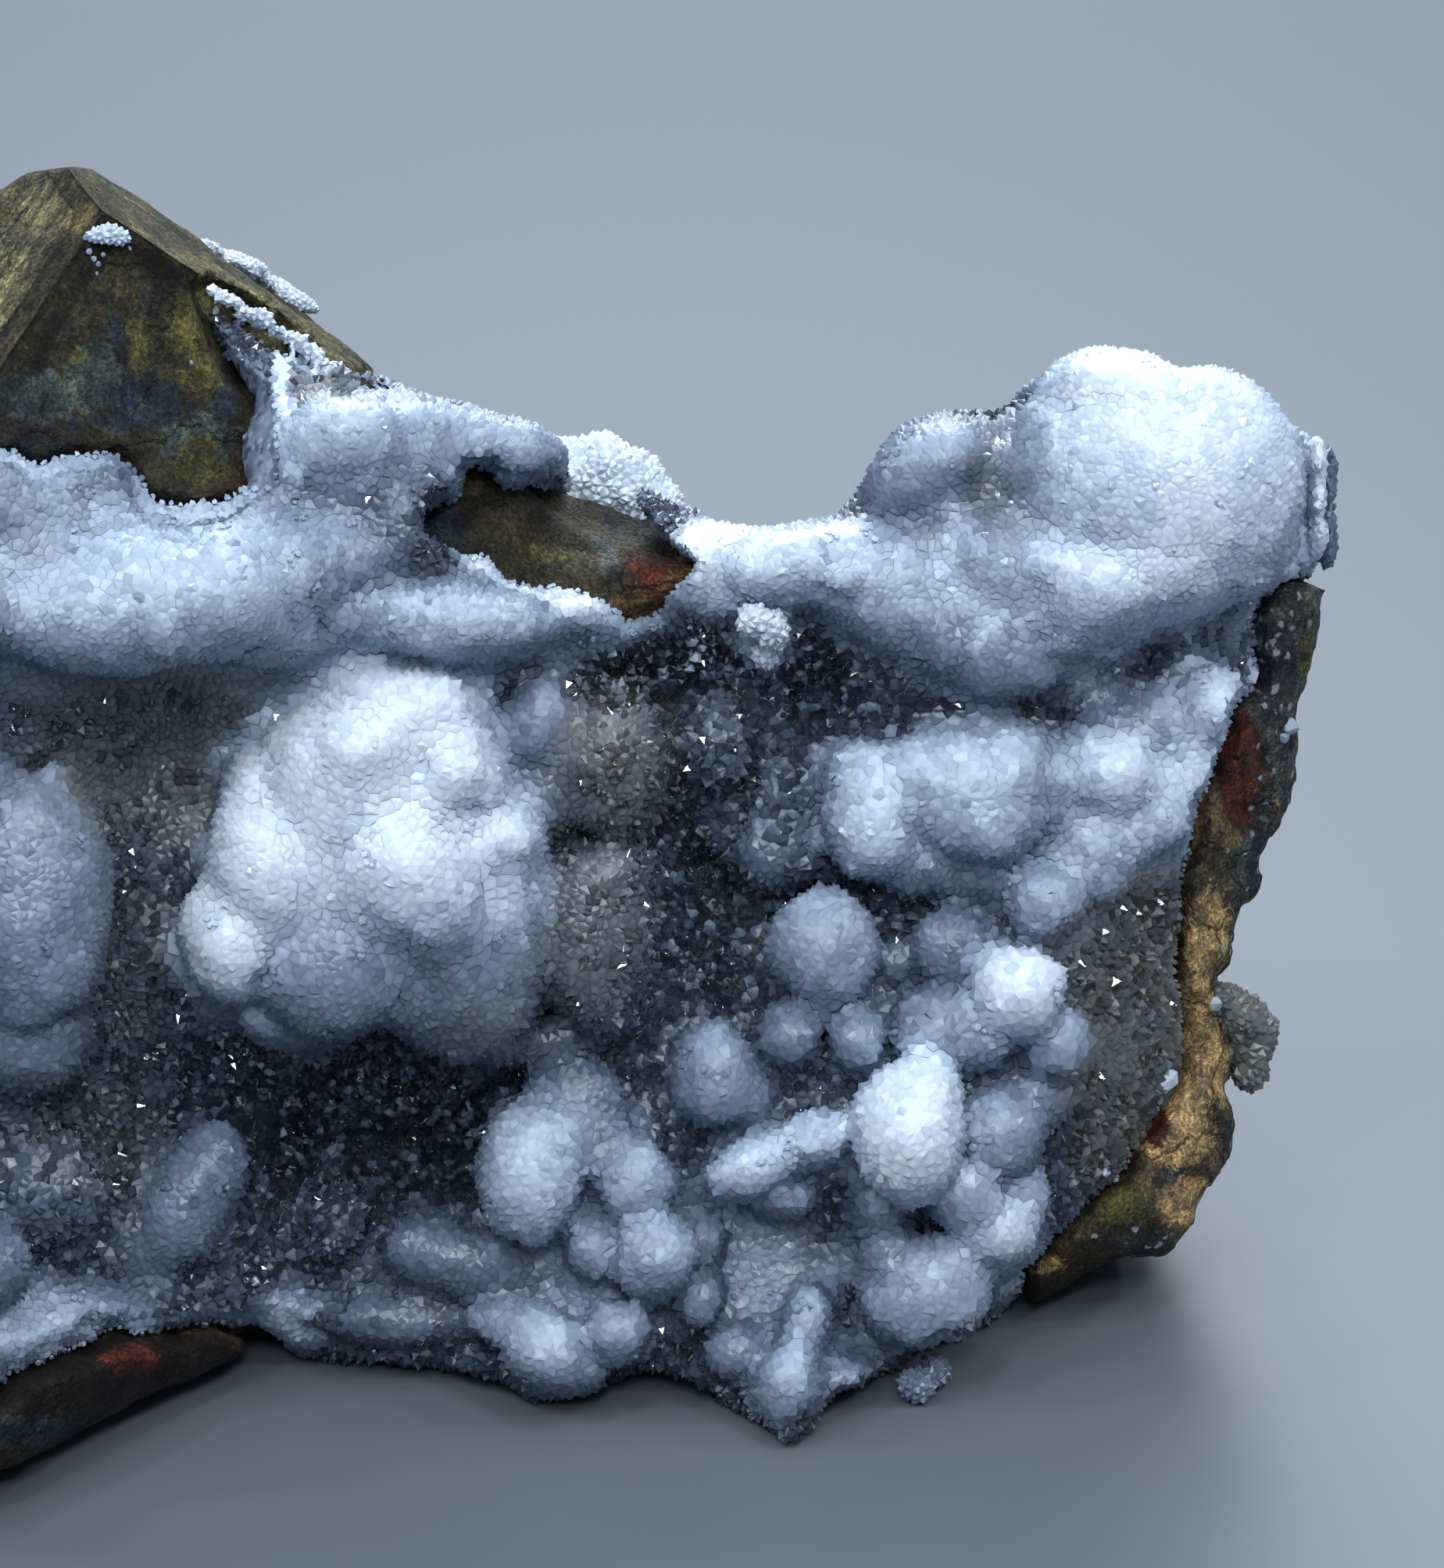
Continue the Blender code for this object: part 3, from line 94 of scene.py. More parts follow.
# rounded lumps: u, v, half width, half height, depth of the centre (mm), half depth (mm), turn, milkiness 0-1, size of the quartz points
LUMPS = [
 # the big white lump
 (470,1040,150,190,2.0,8.0,-8,1.0,1.0),(520,920,112,85,1.2,7.6,0,1.0,1.0),(430,1000,95,95,0.0,6.6,0,1.0,1.0),(585,990,60,62,-1.2,5.6,0,1.0,1.0),(640,1075,60,62,0.0,5.4,0,0.96,1.0),
 (640,1150,55,60,0.8,5.0,0,0.86,1.0),(350,1110,85,110,0.5,6.6,-15,0.98,1.0),(300,1205,66,85,-0.2,5.6,-10,0.98,1.0),(430,1235,105,100,0.0,6.2,0,0.58,1.0),(590,1250,105,105,0.6,5.8,0,0.46,1.0),
 (520,1110,95,90,-0.8,6.6,0,0.97,1.0),(640,1320,58,45,1.2,4.4,0,0.42,1.0),(370,1300,80,48,1.0,5.0,8,0.6,1.0),(465,960,60,55,-1.6,6.0,0,1.0,1.0),(560,1180,60,55,-1.2,5.6,0,0.75,1.0),
 (330,1010,50,60,0.6,4.8,0,0.97,1.0),(655,1215,45,55,1.0,4.6,0,0.6,1.0),
 # beside it
 (690,920,52,60,0.5,3.0,0,0.62,0.9),(785,980,72,104,0.6,4.0,0,0.33,0.8),(705,1010,40,55,1.2,2.6,0,0.38,1.0),(755,1190,82,130,0.8,4.4,0,0.34,0.8),(780,1120,55,50,-0.2,4.0,0,0.38,0.8),(770,1260,62,70,-0.3,4.2,0,0.32,0.8),(720,1330,58,42,0.8,3.2,0,0.34,1.0),
 # middle dark lumps
 (915,960,54,66,0.8,3.2,0,0.30,0.9),(990,1090,66,62,0.8,3.6,0,0.33,1.0),(1000,1020,40,46,1.0,2.4,0,0.26,0.9),(930,1060,34,50,1.0,2.0,0,0.22,0.9),
 # double white lump
 (1120,1040,66,92,0.2,4.6,8,0.85,1.0),(1100,990,42,48,0.6,3.4,0,0.66,1.0),(1245,1020,92,84,0.2,5.0,0,0.78,1.0),(1290,985,52,52,0.4,4.2,0,0.72,1.0),(1185,1000,60,64,0.0,4.4,0,0.72,1.0),(1255,1060,62,55,-0.6,4.6,0,0.74,1.0),(1175,1110,72,48,1.4,3.8,6,0.40,1.0),(1250,1125,55,36,1.6,3.0,0,0.38,0.9),
 # group to the right of it
 (1420,990,60,56,0.4,3.4,0,0.88,1.0),(1500,1000,46,48,0.4,2.8,0,0.88,1.0),(1552,905,44,50,0.0,3.2,0,0.9,1.0),(1395,1070,52,34,0.4,2.6,-12,0.84,0.9),(1465,1060,52,34,0.3,2.6,-14,0.86,0.9),(1350,1000,36,46,0.8,2.4,0,0.62,0.9),
 (1335,1160,52,50,0.3,3.2,0,0.66,1.0),(1400,1120,42,38,0.6,2.4,0,0.64,0.9),(1540,960,34,40,0.6,2.4,0,0.86,0.9),(1470,920,42,36,0.8,2.2,0,0.66,0.9),(1400,900,46,36,0.8,2.2,0,0.46,0.9),
 # balls of the middle
 (1055,1212,72,76,0.0,4.2,0,0.66,1.0),(1215,1213,54,54,0.5,3.0,0,0.46,1.0),(1150,1235,34,40,0.9,2.0,0,0.42,0.9),(1305,1268,60,64,-0.6,4.2,0,1.0,1.25),(1350,1335,50,52,0.2,3.4,0,0.66,1.25),(1250,1330,48,48,0.4,2.8,0,0.58,1.1),(1195,1320,58,62,0.4,3.2,0,0.58,1.05),
 (1010,1325,44,50,0.3,3.0,0,0.5,1.1),(1100,1335,42,46,0.2,3.0,0,0.55,1.1),(1060,1280,36,34,0.8,2.2,0,0.42,1.0),(915,1378,56,72,0.0,3.8,-12,0.62,1.05),(960,1400,36,44,0.6,2.4,0,0.45,1.0),(1320,1410,60,44,0.9,2.4,0,0.36,1.0),
 # lower right group
 (1163,1450,76,94,-0.8,5.4,0,1.0,1.1),(1190,1395,44,44,-0.4,4.0,0,0.95,1.1),(1275,1450,60,62,0.2,3.4,0,0.64,1.0),(1235,1520,56,56,0.1,3.6,0,0.72,1.0),(1270,1565,60,58,-0.4,4.0,0,1.0,1.0),(1300,1520,40,46,0.4,2.8,0,0.66,1.0),
 (1180,1650,88,80,0.2,4.8,0,0.68,1.0),(1130,1600,40,46,0.6,3.0,0,0.55,1.0),(1230,1620,48,50,0.2,3.4,0,0.7,1.0),(1170,1710,62,40,0.8,3.4,0,0.56,1.0),(1120,1540,34,40,0.7,2.4,0,0.45,1.0),
 (970,1490,62,42,-0.2,3.8,-18,0.85,1.0),(1045,1458,50,42,-0.2,3.4,-20,0.80,1.0),(1000,1530,46,30,0.6,2.6,0,0.62,1.0),
 # lower middle group
 (680,1500,70,96,-0.8,5.2,0,0.84,1.0),(725,1455,56,56,0.2,4.2,0,0.62,1.0),(735,1400,66,50,0.7,3.6,0,0.42,1.0),(770,1460,44,60,0.8,3.0,0,0.42,1.0),(815,1515,52,62,0.1,3.6,0,0.66,1.0),(840,1605,62,66,-0.2,4.2,0,0.68,1.0),(760,1600,44,50,0.6,2.8,0,0.58,1.0),
 (700,1725,66,58,0.0,3.8,0,0.78,1.0),(790,1700,46,46,0.1,3.2,0,0.66,1.0),(745,1745,40,34,0.5,2.6,0,0.62,1.0),(900,1660,40,44,0.6,2.4,0,0.58,1.0),(900,1590,36,40,0.8,2.2,0,0.56,1.0),(640,1690,44,34,0.8,2.4,0,0.58,1.0),
 (1035,1690,34,56,-0.2,3.4,14,0.66,1.0),(1010,1770,44,70,0.4,3.6,10,0.72,1.0),(940,1730,46,44,0.8,2.6,0,0.5,1.0),(1075,1770,46,34,0.8,2.6,-20,0.52,1.0),
 # left side
 (40,1150,100,180,0.6,6.0,0,0.58,0.9),(-60,1020,90,90,0.4,5.0,0,0.5,0.9),(30,1330,85,80,0.8,4.4,0,0.42,0.9),(240,1540,58,115,0.4,3.8,32,0.5,0.9),(60,1520,90,80,0.8,3.6,0,0.32,0.9),(-40,1620,90,70,0.6,4.0,0,0.5,0.9),
 (590,1610,120,50,0.4,3.4,12,0.44,0.9),(520,1690,100,36,0.8,2.4,4,0.42,0.9),(420,1560,60,50,0.8,2.4,0,0.25,0.8),
 (220,770,150,80,0.2,4.6,-6,0.76,0.8),(90,800,90,60,0.6,3.6,0,0.72,0.8),(340,800,80,50,0.6,3.2,20,0.72,0.8),(420,720,60,46,0.4,3.0,0,0.62,0.8),(455,560,64,52,0.2,3.4,0,0.76,0.8),(330,700,50,40,0.6,2.4,0,0.6,0.8),
 (-120,800,110,80,0.4,4.8,0,0.62,0.8),(-150,1200,110,120,0.2,5.6,0,0.7,0.95),(-260,1400,90,100,0.2,5.0,0,0.55,0.95),(-330,1120,80,90,0.6,4.6,0,0.5,0.95),(-130,1480,80,80,0.4,4.4,0,0.8,1.0),(-300,1650,100,80,0.4,4.6,0,0.6,0.95),(-330,850,90,70,0.6,4.2,0,0.55,0.9),(-120,1820,120,60,0.6,3.8,0,0.6,0.95),
 # top and right dome
 (1480,620,188,170,2.2,8.4,0,0.96,0.8),(1480,520,110,62,1.0,6.6,0,0.97,0.9),(1560,560,90,70,0.8,6.2,0,0.95,0.9),(1400,500,70,50,0.8,5.6,0,0.92,0.9),(1470,745,100,52,0.3,5.4,0,0.95,0.8),(1560,700,80,70,0.6,5.8,0,0.93,0.8),(1370,640,70,80,0.8,5.2,0,0.86,0.8),
 (1620,620,52,70,0.6,4.2,0,0.9,0.9),(1620,760,44,60,0.8,3.6,0,0.82,0.9),(1400,770,66,48,0.4,4.4,0,0.84,0.8),(1290,720,70,60,0.8,4.2,10,0.8,0.8),(1210,590,60,52,0.6,4.4,0,0.68,0.8),(1150,620,40,50,0.8,3.6,0,0.6,0.8),
 (1300,850,66,44,0.6,3.4,0,0.62,0.9),(1210,820,60,46,0.8,3.2,0,0.55,0.9),(1130,760,60,60,0.6,3.8,0,0.72,0.8),(1050,710,60,44,0.6,3.6,0,0.86,0.8),(980,730,46,36,0.6,2.8,0,0.9,0.8),
 (640,575,80,44,0.6,3.4,8,0.7,0.8),(540,560,56,48,0.6,3.4,0,0.7,0.8),(520,680,52,66,0.4,3.2,0,0.36,0.8),(600,800,90,40,0.2,3.4,4,0.76,0.8),(560,790,70,44,0.6,3.2,0,0.72,0.8),
]


# ---------------------------------------------------------------- drawing helpers
def place(u, v, depth):
    u, v, depth = (np.asarray(a, float) for a in (u, v, depth))
    ahead = COS * FOCAL + (MID_V - v) * SIN
    t = (depth - EYE[1]) / ahead
    return np.stack(np.broadcast_arrays(EYE[0] + (u - MID_U) * t, depth, EYE[2] + (-SIN * FOCAL + (MID_V - v) * COS) * t), -1)


def project(x, y, z):
    rx, ry, rz = x - np.float32(EYE[0]), y - np.float32(EYE[1]), z - np.float32(EYE[2])
    ahead = ry * np.float32(COS) - rz * np.float32(SIN)
    return np.float32(MID_U) + np.float32(FOCAL) * rx / ahead, np.float32(MID_V) - np.float32(FOCAL) * (ry * np.float32(SIN) + rz * np.float32(COS)) / ahead


def drawing_grid():
    return np.meshgrid(FIRST_U + STEP * np.arange(NU), FIRST_V + STEP * np.arange(NV), indexing="ij")


def polygon_distance(polygon):
    pts = np.asarray(polygon, float)
    gu, gv = drawing_grid()
    nearest = np.full(gu.shape, 1e18)
    inside = np.zeros(gu.shape, bool)
    for a, b in zip(pts, np.roll(pts, -1, axis=0)):
        e = b - a
        t = np.clip(((gu - a[0]) * e[0] + (gv - a[1]) * e[1]) / (e @ e), 0, 1)
        nearest = np.minimum(nearest, (gu - a[0] - t * e[0]) ** 2 + (gv - a[1] - t * e[1]) ** 2)
        if a[1] != b[1]:
            inside ^= ((a[1] > gv) != (b[1] > gv)) & (gu < a[0] + (gv - a[1]) / (b[1] - a[1]) * e[0])
    return np.where(inside, -np.sqrt(nearest), np.sqrt(nearest)).astype(np.float32)


def blur(grid, passes):
    for _ in range(passes):
        p = np.pad(grid, 1, mode="edge")
        grid = (p[:-2, 1:-1] + 2 * p[1:-1, 1:-1] + p[2:, 1:-1]) / 4
        p = np.pad(grid, 1, mode="edge")
        grid = (p[1:-1, :-2] + 2 * p[1:-1, 1:-1] + p[1:-1, 2:]) / 4
    return grid


def look_up(grid, u, v):
    x = np.clip((u - np.float32(FIRST_U)) / np.float32(STEP), 0, NU - 1.001)
    y = np.clip((v - np.float32(FIRST_V)) / np.float32(STEP), 0, NV - 1.001)
    i, j = x.astype(np.int32), y.astype(np.int32)
    fx, fy = x - i, y - j
    return ((grid[i, j] * (1 - fx) + grid[i + 1, j] * fx) * (1 - fy) + (grid[i, j + 1] * (1 - fx) + grid[i + 1, j + 1] * fx) * fy).astype(np.float32)


def depth_map(points):
    pts = np.array(points, float)
    c, n = pts[:, :2] / 100.0, len(pts)
    far = np.sqrt(((c[:, None] - c[None]) ** 2).sum(-1))
    a = np.zeros((n + 3, n + 3))
    a[:n, :n] = far - 0.03 * np.eye(n)
    a[:n, n] = a[n, :n] = 1
    a[:n, n + 1:] = c
    a[n + 1:, :n] = c.T
    w = np.linalg.solve(a, np.append(pts[:, 2], [0, 0, 0]))
    gu, gv = (g / 100.0 for g in drawing_grid())
    out = w[n] + w[n + 1] * gu + w[n + 2] * gv
    for (cu, cv), weight in zip(c, w):
        out += weight * np.sqrt((gu - cu) ** 2 + (gv - cv) ** 2)
    return blur(out.astype(np.float32), 4)


def smooth_max(a, b, k):
    h = np.clip(0.5 + 0.5 * (a - b) / k, 0, 1)
    return b * (1 - h) + a * h + k * h * (1 - h)


def smooth_min(a, b, k):
    return -smooth_max(-a, -b, k)


def ramp(start, end, x):
    t = np.clip((x - start) / (end - start), 0, 1)
    return t * t * (3 - 2 * t)


def lattice(ix, iy, iz, seed):
    h = ix.astype(np.uint32) * np.uint32(374761393) + iy.astype(np.uint32) * np.uint32(668265263)
    h = h + iz.astype(np.uint32) * np.uint32(1274126177) + np.uint32(seed * 974711)
    h = (h ^ (h >> np.uint32(13))) * np.uint32(1274126177)
    h = (h ^ (h >> np.uint32(16))) * np.uint32(2246822519)
    h = h ^ (h >> np.uint32(15))
    return h.astype(np.float32) * np.float32(2.0 / 4294967295.0) - np.float32(1.0)


def noise(x, y, z, size, seed):
    x, y, z = (np.asarray(c, np.float32) / np.float32(size) for c in (x, y, z))
    cell = [np.floor(c) for c in (x, y, z)]
    i = [c.astype(np.int32) for c in cell]
    t = [c - f for c, f in zip((x, y, z), cell)]
    t = [c * c * c * (c * (c * 6 - 15) + 10) for c in t]
    out = np.zeros(np.shape(x), np.float32)
    for a in (0, 1):
        for b in (0, 1):
            w = (t[0] if a else 1 - t[0]) * (t[1] if b else 1 - t[1])
            for c in (0, 1):
                out += lattice(i[0] + a, i[1] + b, i[2] + c, seed) * w * (t[2] if c else 1 - t[2])
    return out


def plane_through(a, b, c, side):
    normal = np.cross(b - a, c - a)
    normal /= np.linalg.norm(normal)
    if normal @ np.array(side, float) < 0:
        normal = -normal
    return normal, float(normal @ a)


def plane_at(normal, point):
    normal = np.array(normal, float) / np.linalg.norm(normal)
    return normal, float(normal @ np.array(point, float))


def on_plane(plane, u, v):
    ray = np.array([u - MID_U, COS * FOCAL + (MID_V - v) * SIN, -SIN * FOCAL + (MID_V - v) * COS])
    return EYE + ray * ((plane[1] - plane[0] @ EYE) / (plane[0] @ ray))


FACE = depth_map(FRONT)
SIDE = polygon_distance(OUTLINE)
SIDE_SOFT = blur(SIDE, 14)
UNDER_LIP = polygon_distance(LIP)
EDGE = polygon_distance(COVER)
HOLE = polygon_distance(WINDOW)
BARE = np.maximum(EDGE, -HOLE)
STEEP = (1 / np.sqrt(1 + blur(sum(g * g for g in np.gradient(FACE, STEP * UNIT)), 3))).astype(np.float32)

PEAK_FRONT = plane_through(place(60, 590, 10.0), place(320, 612, 15.0), place(130, 275, 16.5), (0, -1, 0))
RIDGE_TOP, RIDGE_LEFT, RIDGE_RIGHT = (on_plane(PEAK_FRONT, *p) for p in ((118, 262), (0, 452), (440, 470)))
PEAK_TOP = plane_through(RIDGE_TOP, RIDGE_RIGHT, place(300, 338, on_plane(PEAK_FRONT, 300, 385)[1] + 7.0), (0, 0, 1))
ALONG = (RIDGE_LEFT - RIDGE_TOP) / np.linalg.norm(RIDGE_LEFT - RIDGE_TOP)
ACROSS = np.array([-0.62, -0.62, 0.45])
LEDGE = plane_at(ACROSS - ALONG * (ACROSS @ ALONG), RIDGE_TOP)
PEAK_LEFT = plane_through(on_plane(LEDGE, 88, 236), on_plane(LEDGE, 0, 398), place(-250, 420, 19.0), (-1, 0, 1))
PEAK_GRIT = 0.6
PEAK = ((PEAK_FRONT, 1.0), (PEAK_TOP, 0.5), (PEAK_LEFT, 0.8), (LEDGE, 0.5))
BACK = [plane_at(*p) for p in (
    ((0.06, 1, 0.04), (0, 57, 30)), ((0.52, 1, 0.12), (30, 53, 30)), ((-0.55, 1, 0.12), (-46, 46, 30)), ((0.12, 1, 0.85), (-10, 47, 58)),
    ((0.55, 0.7, 0.75), (33, 43, 56)), ((-0.9, 0.42, 0.25), (-69, 25, 35)), ((0.1, 1, -0.75), (-10, 53, 7)), ((-0.25, 0.6, 1), (-35, 30, 78)),
    ((0.9, 0.5, -0.35), (41, 40, 30)), ((-1, 0.1, -0.4), (-70, 10, 8)))]


# where the lumps run into each other: u, v, half width, half height, amount
SMOOTH_FIELDS = [(545, 1110, 175, 230, 0.45), (1290, 780, 190, 110, 1.0), (200, 745, 330, 130, 1.0), (520, 560, 190, 100, 0.8), (1080, 730, 150, 70, 1.0), (1240, 600, 110, 90, 0.6), (600, 800, 150, 50, 1.0), (1450, 1020, 150, 110, 0.5)]


# ---------------------------------------------------------------- solids
def lump_frame(centre, ru, rv, rd, turn=0.0):
    k = (centre[1] - EYE[1]) / (COS * FOCAL)
    a = math.radians(turn)
    right, up, away = np.array([1, 0, 0.0]), np.array([0, SIN, COS]), np.array([0, COS, -SIN])
    axes = (math.cos(a) * right - math.sin(a) * up, math.sin(a) * right + math.cos(a) * up, away)
    radii = np.array([ru * k, rv * k, rd])
    return np.asarray(centre, float), np.array([n / r for n, r in zip(axes, radii)]), radii


LUMP_FRAMES = []
for lu, lv, ru, rv, dy, rd, turn, milk, size in LUMPS:
    depth = float(look_up(FACE, np.float64(lu), np.float64(lv))) + dy - LUMP_RISE
    LUMP_FRAMES.append((*lump_frame(place(lu, lv, depth), ru, rv, rd, turn), milk, size))


def lump_field(x, y, z, centre, axes):
    q = (x - np.float32(centre[0]), y - np.float32(centre[1]), z - np.float32(centre[2]))
    e = sum((q[0] * np.float32(n[0]) + q[1] * np.float32(n[1]) + q[2] * np.float32(n[2])) ** 2 for n in axes)
    return np.sqrt(e)


def solids(x, y, z, fine=True):
    """Rock and crust fields at flat arrays of points (mm)."""
    u, v = project(x, y, z)
    k = (y - np.float32(EYE[1])) / np.float32(COS * FOCAL)
    face = look_up(FACE, u, v)
    front = (face - y) * look_up(STEEP, u, v)
    behind = np.maximum(0, y - face - 5.0)
    soft = ramp(0, 10, behind)
    side = (look_up(SIDE, u, v) * (1 - soft) + look_up(SIDE_SOFT, u, v) * soft) * k + BACK_TAPER * behind
    uneven = noise(x, y, z, 9, 1) * 0.9 + noise(x, y, z, 4.1, 2) * 0.35
    front = front - 0.5 * uneven * (front < 3)
    lip = np.minimum(look_up(UNDER_LIP, u, v) * k, face + 7.0 - y)
    flat = ramp(0.3, 2.4, look_up(BARE, u, v) * k) * ramp(590, 540, u) * ramp(700, 660, v) * ramp(-220, -90, u)
    broken = np.full(x.shape, -1e3, np.float32)
    for n, d in BACK:
        broken = np.maximum(broken, x * np.float32(n[0]) + y * np.float32(n[1]) + z * np.float32(n[2]) - np.float32(d))
    broken = broken + noise(x, y, z, 13, 5) * 1.6 + noise(x, y, z, 5.3, 6) * 0.7
    gritty = noise(x, y, z, 3.1, 8) * 0.25
    grain = 0
    if fine:
        # chips: flat steps from noise that is sharpened along its zero line
        chip = noise(x, y, z, 2.4, 7)
        grain = 0.20 * np.abs(chip) + noise(x, y, z, 1.15, 9) * 0.13 + noise(x, y, z, 0.62, 10) * 0.06
        broken = broken + 0.35 * np.abs(noise(x, y, z, 4.0, 11)) + grain
    body, inner = (np.maximum(np.maximum(smooth_max(smooth_max(f, side, nose), lip, 0.8), broken), -z) for f, nose in ((front, NOSE_ROUND), (front - 6.0 * flat, NOSE_ROUND * (1 - 0.7 * flat))))
    peak = np.full(x.shape, -1e3, np.float32)
    for (n, d), a in PEAK:
        peak = np.maximum(peak, x * np.float32(n[0]) + y * np.float32(n[1]) + z * np.float32(n[2]) - np.float32(d) + PEAK_GRIT * a * (gritty + 0.7 * grain))
    peak = peak - 7.0 * ramp(455, 560, u) - 60.0 * ramp(560, 900, u) - 9.0 * ramp(600, 720, v) - 40.0 * ramp(720, 1100, v)
    over = y - (face + CRUST_WRAP)
    t = np.clip(((u - 262) * 243 + (v - 360) * 124) / (243 * 243 + 124 * 124), 0, 1)
    strip = ramp(75, 30, np.hypot(u - 262 - 243 * t, v - 360 - 124 * t))
    crest = ramp(75, 35, np.hypot(u - 850, v - 664))
    thick = CRUST_THICKNESS * (1 - 0.8 * strip)
    cover = look_up(EDGE, u, v) * k
    under = thick * ramp(1.2 - strip, -1.2 + strip, np.maximum(cover, over))
    jagged = (0.55 * np.abs(noise(x, y, z, 2.0, 15)) + 0.16 * noise(x, y, z, 0.9, 16)) * ramp(1490, 1550, u) if fine else 0
    rock = np.maximum(np.maximum(inner + under + gritty * 0.8 + grain + jagged, peak), -z)

    merged = LUMP_BLEND + 2.4 * np.clip(sum(s * ramp(1.3, 0.6, np.hypot((u - a) / b, (v - c) / d)) for a, c, b, d, s in SMOOTH_FIELDS), 0, 1)
    lumps = np.full(x.shape, 1e3, np.float32)
    for centre, axes, radii, milk, size in LUMP_FRAMES:
        near = (np.abs(x - centre[0]) < radii.max() + 3) & (np.abs(z - centre[2]) < radii.max() + 3) & (np.abs(y - centre[1]) < radii.max() + 3)
        if near.any():
            near = np.flatnonzero(near)
            lumps[near] = smooth_min(lumps[near], (lump_field(x[near], y[near], z[near], centre, axes) - 1) * np.float32(radii.min()), merged[near])
    lumps = smooth_max(lumps, side - 0.2, 0.6)
    outer = smooth_min(body, lumps, merged)
    if fine:
        outer = outer + noise(x, y, z, 3.3, 14) * 0.40 + noise(x, y, z, 1.7, 12) * 0.28 + noise(x, y, z, 0.9, 13) * 0.12
    ragged = noise(x, y, z, 2.3, 21) * 0.5 + noise(x, y, z, 0.9, 22) * 0.22
    ragged = ragged * (1 - 0.7 * np.maximum(strip, crest))
    slope = 0.20 * (1 - crest) * (1 - strip) + 0.5 * ramp(520, 400, u) * ramp(440, 500, v)
    edge = look_up(BARE, u, v) * k + slope * (thick - np.clip(-body, 0, thick)) + ragged
    rim = np.maximum(np.maximum(edge, over + ragged), -(rock - GAP))
    crust = np.maximum(np.maximum(outer, rim), -z)
    return rock, crust, outer, body


# ---------------------------------------------------------------- meshes
def banded(cell, low, high, margin=2.0):
    """Rock and crust fields on a fine grid, worked out only near the surfaces."""
    block = 4
    count = [int(math.ceil((b - a) / (cell * block))) for a, b in zip(low, high)]
    axes = [np.float32(a) + np.float32(cell * block) * np.arange(n + 1, dtype=np.float32) for a, n in zip(low, count)]
    gx, gy, gz = np.meshgrid(*axes, indexing="ij")
    coarse = solids(gx.ravel(), gy.ravel(), gz.ravel(), fine=False)[:2]
    active = np.zeros(count, bool)
    fields = []
    for f in coarse:
        f = f.reshape(gx.shape)
        corners = np.stack([f[a:a + count[0], b:b + count[1], c:c + count[2]] for a in (0, 1) for b in (0, 1) for c in (0, 1)])
        active |= (np.abs(corners).min(axis=0) < margin * block * cell * 0.5) | (corners.min(axis=0) * corners.max(axis=0) < 0)
        full = np.ones([n * block + 1 for n in count], np.float32)
        full[:-1, :-1, :-1] = np.repeat(np.repeat(np.repeat(f[:-1, :-1, :-1], block, 0), block, 1), block, 2)
        fields.append(full)
    cells = np.argwhere(active) * block
    offsets = np.array([(a, b, c) for a in range(block) for b in range(block) for c in range(block)])
    for part in np.array_split(cells, max(1, len(cells) // 6000)):
        index = (part[:, None] + offsets[None]).reshape(-1, 3)
        p = (index * cell + np.asarray(low)).astype(np.float32)
        rock, crust = solids(p[:, 0].copy(), p[:, 1].copy(), p[:, 2].copy())[:2]
        where = tuple(index.T)
        fields[0][where], fields[1][where] = rock, crust
    return fields


def surface(field, low, cell):
    """Closed quad mesh round field < 0, one vertex in each cell that the surface crosses."""
    inside = field < 0
    count = [n - 1 for n in field.shape]
    corners = [(a, b, c) for a in (0, 1) for b in (0, 1) for c in (0, 1)]
    filled = np.zeros(count, np.int8)
    for a, b, c in corners:
        filled += inside[a:a + count[0], b:b + count[1], c:c + count[2]]
    mixed = (filled > 0) & (filled < 8)
    cells = np.argwhere(mixed)
    index = np.full(mixed.shape, -1, np.int32)
    index[mixed] = np.arange(len(cells))
    values = {c: field[tuple((cells + np.array(c)).T)].astype(float) for c in corners}
    total, hits = np.zeros((len(cells), 3)), np.zeros(len(cells))
    for first in corners:
        for axis in range(3):
            if first[axis]:
                continue
            second = tuple(1 if n == axis else c for n, c in enumerate(first))
            f0, f1 = values[first], values[second]
            crossed = (f0 < 0) != (f1 < 0)
            point = np.tile(np.array(first, float), (len(cells), 1))
            point[:, axis] = np.where(crossed, f0 / np.where(crossed, f0 - f1, 1), 0)
            total += point * crossed[:, None]
            hits += crossed
    verts = (cells + total / hits[:, None]) * cell + np.asarray(low, float)
    quads = []
    for axis in range(3):
        b, c = (axis + 1) % 3, (axis + 2) % 3
        here, there = [slice(1, -1)] * 3, [slice(1, -1)] * 3
        here[axis], there[axis] = slice(None, -1), slice(1, None)
        at = np.argwhere(inside[tuple(here)] != inside[tuple(there)])
        at[:, b] += 1
        at[:, c] += 1
        ring = []
        for db, dc in ((-1, -1), (0, -1), (0, 0), (-1, 0)):
            q = at.copy()
            q[:, b] += db
            q[:, c] += dc
            ring.append(index[tuple(q.T)])
        ring = np.stack(ring, 1)
        turned = ~inside[tuple(at.T)]
        ring[turned] = ring[turned][:, ::-1]
        quads.append(ring)
    return verts, np.concatenate(quads)


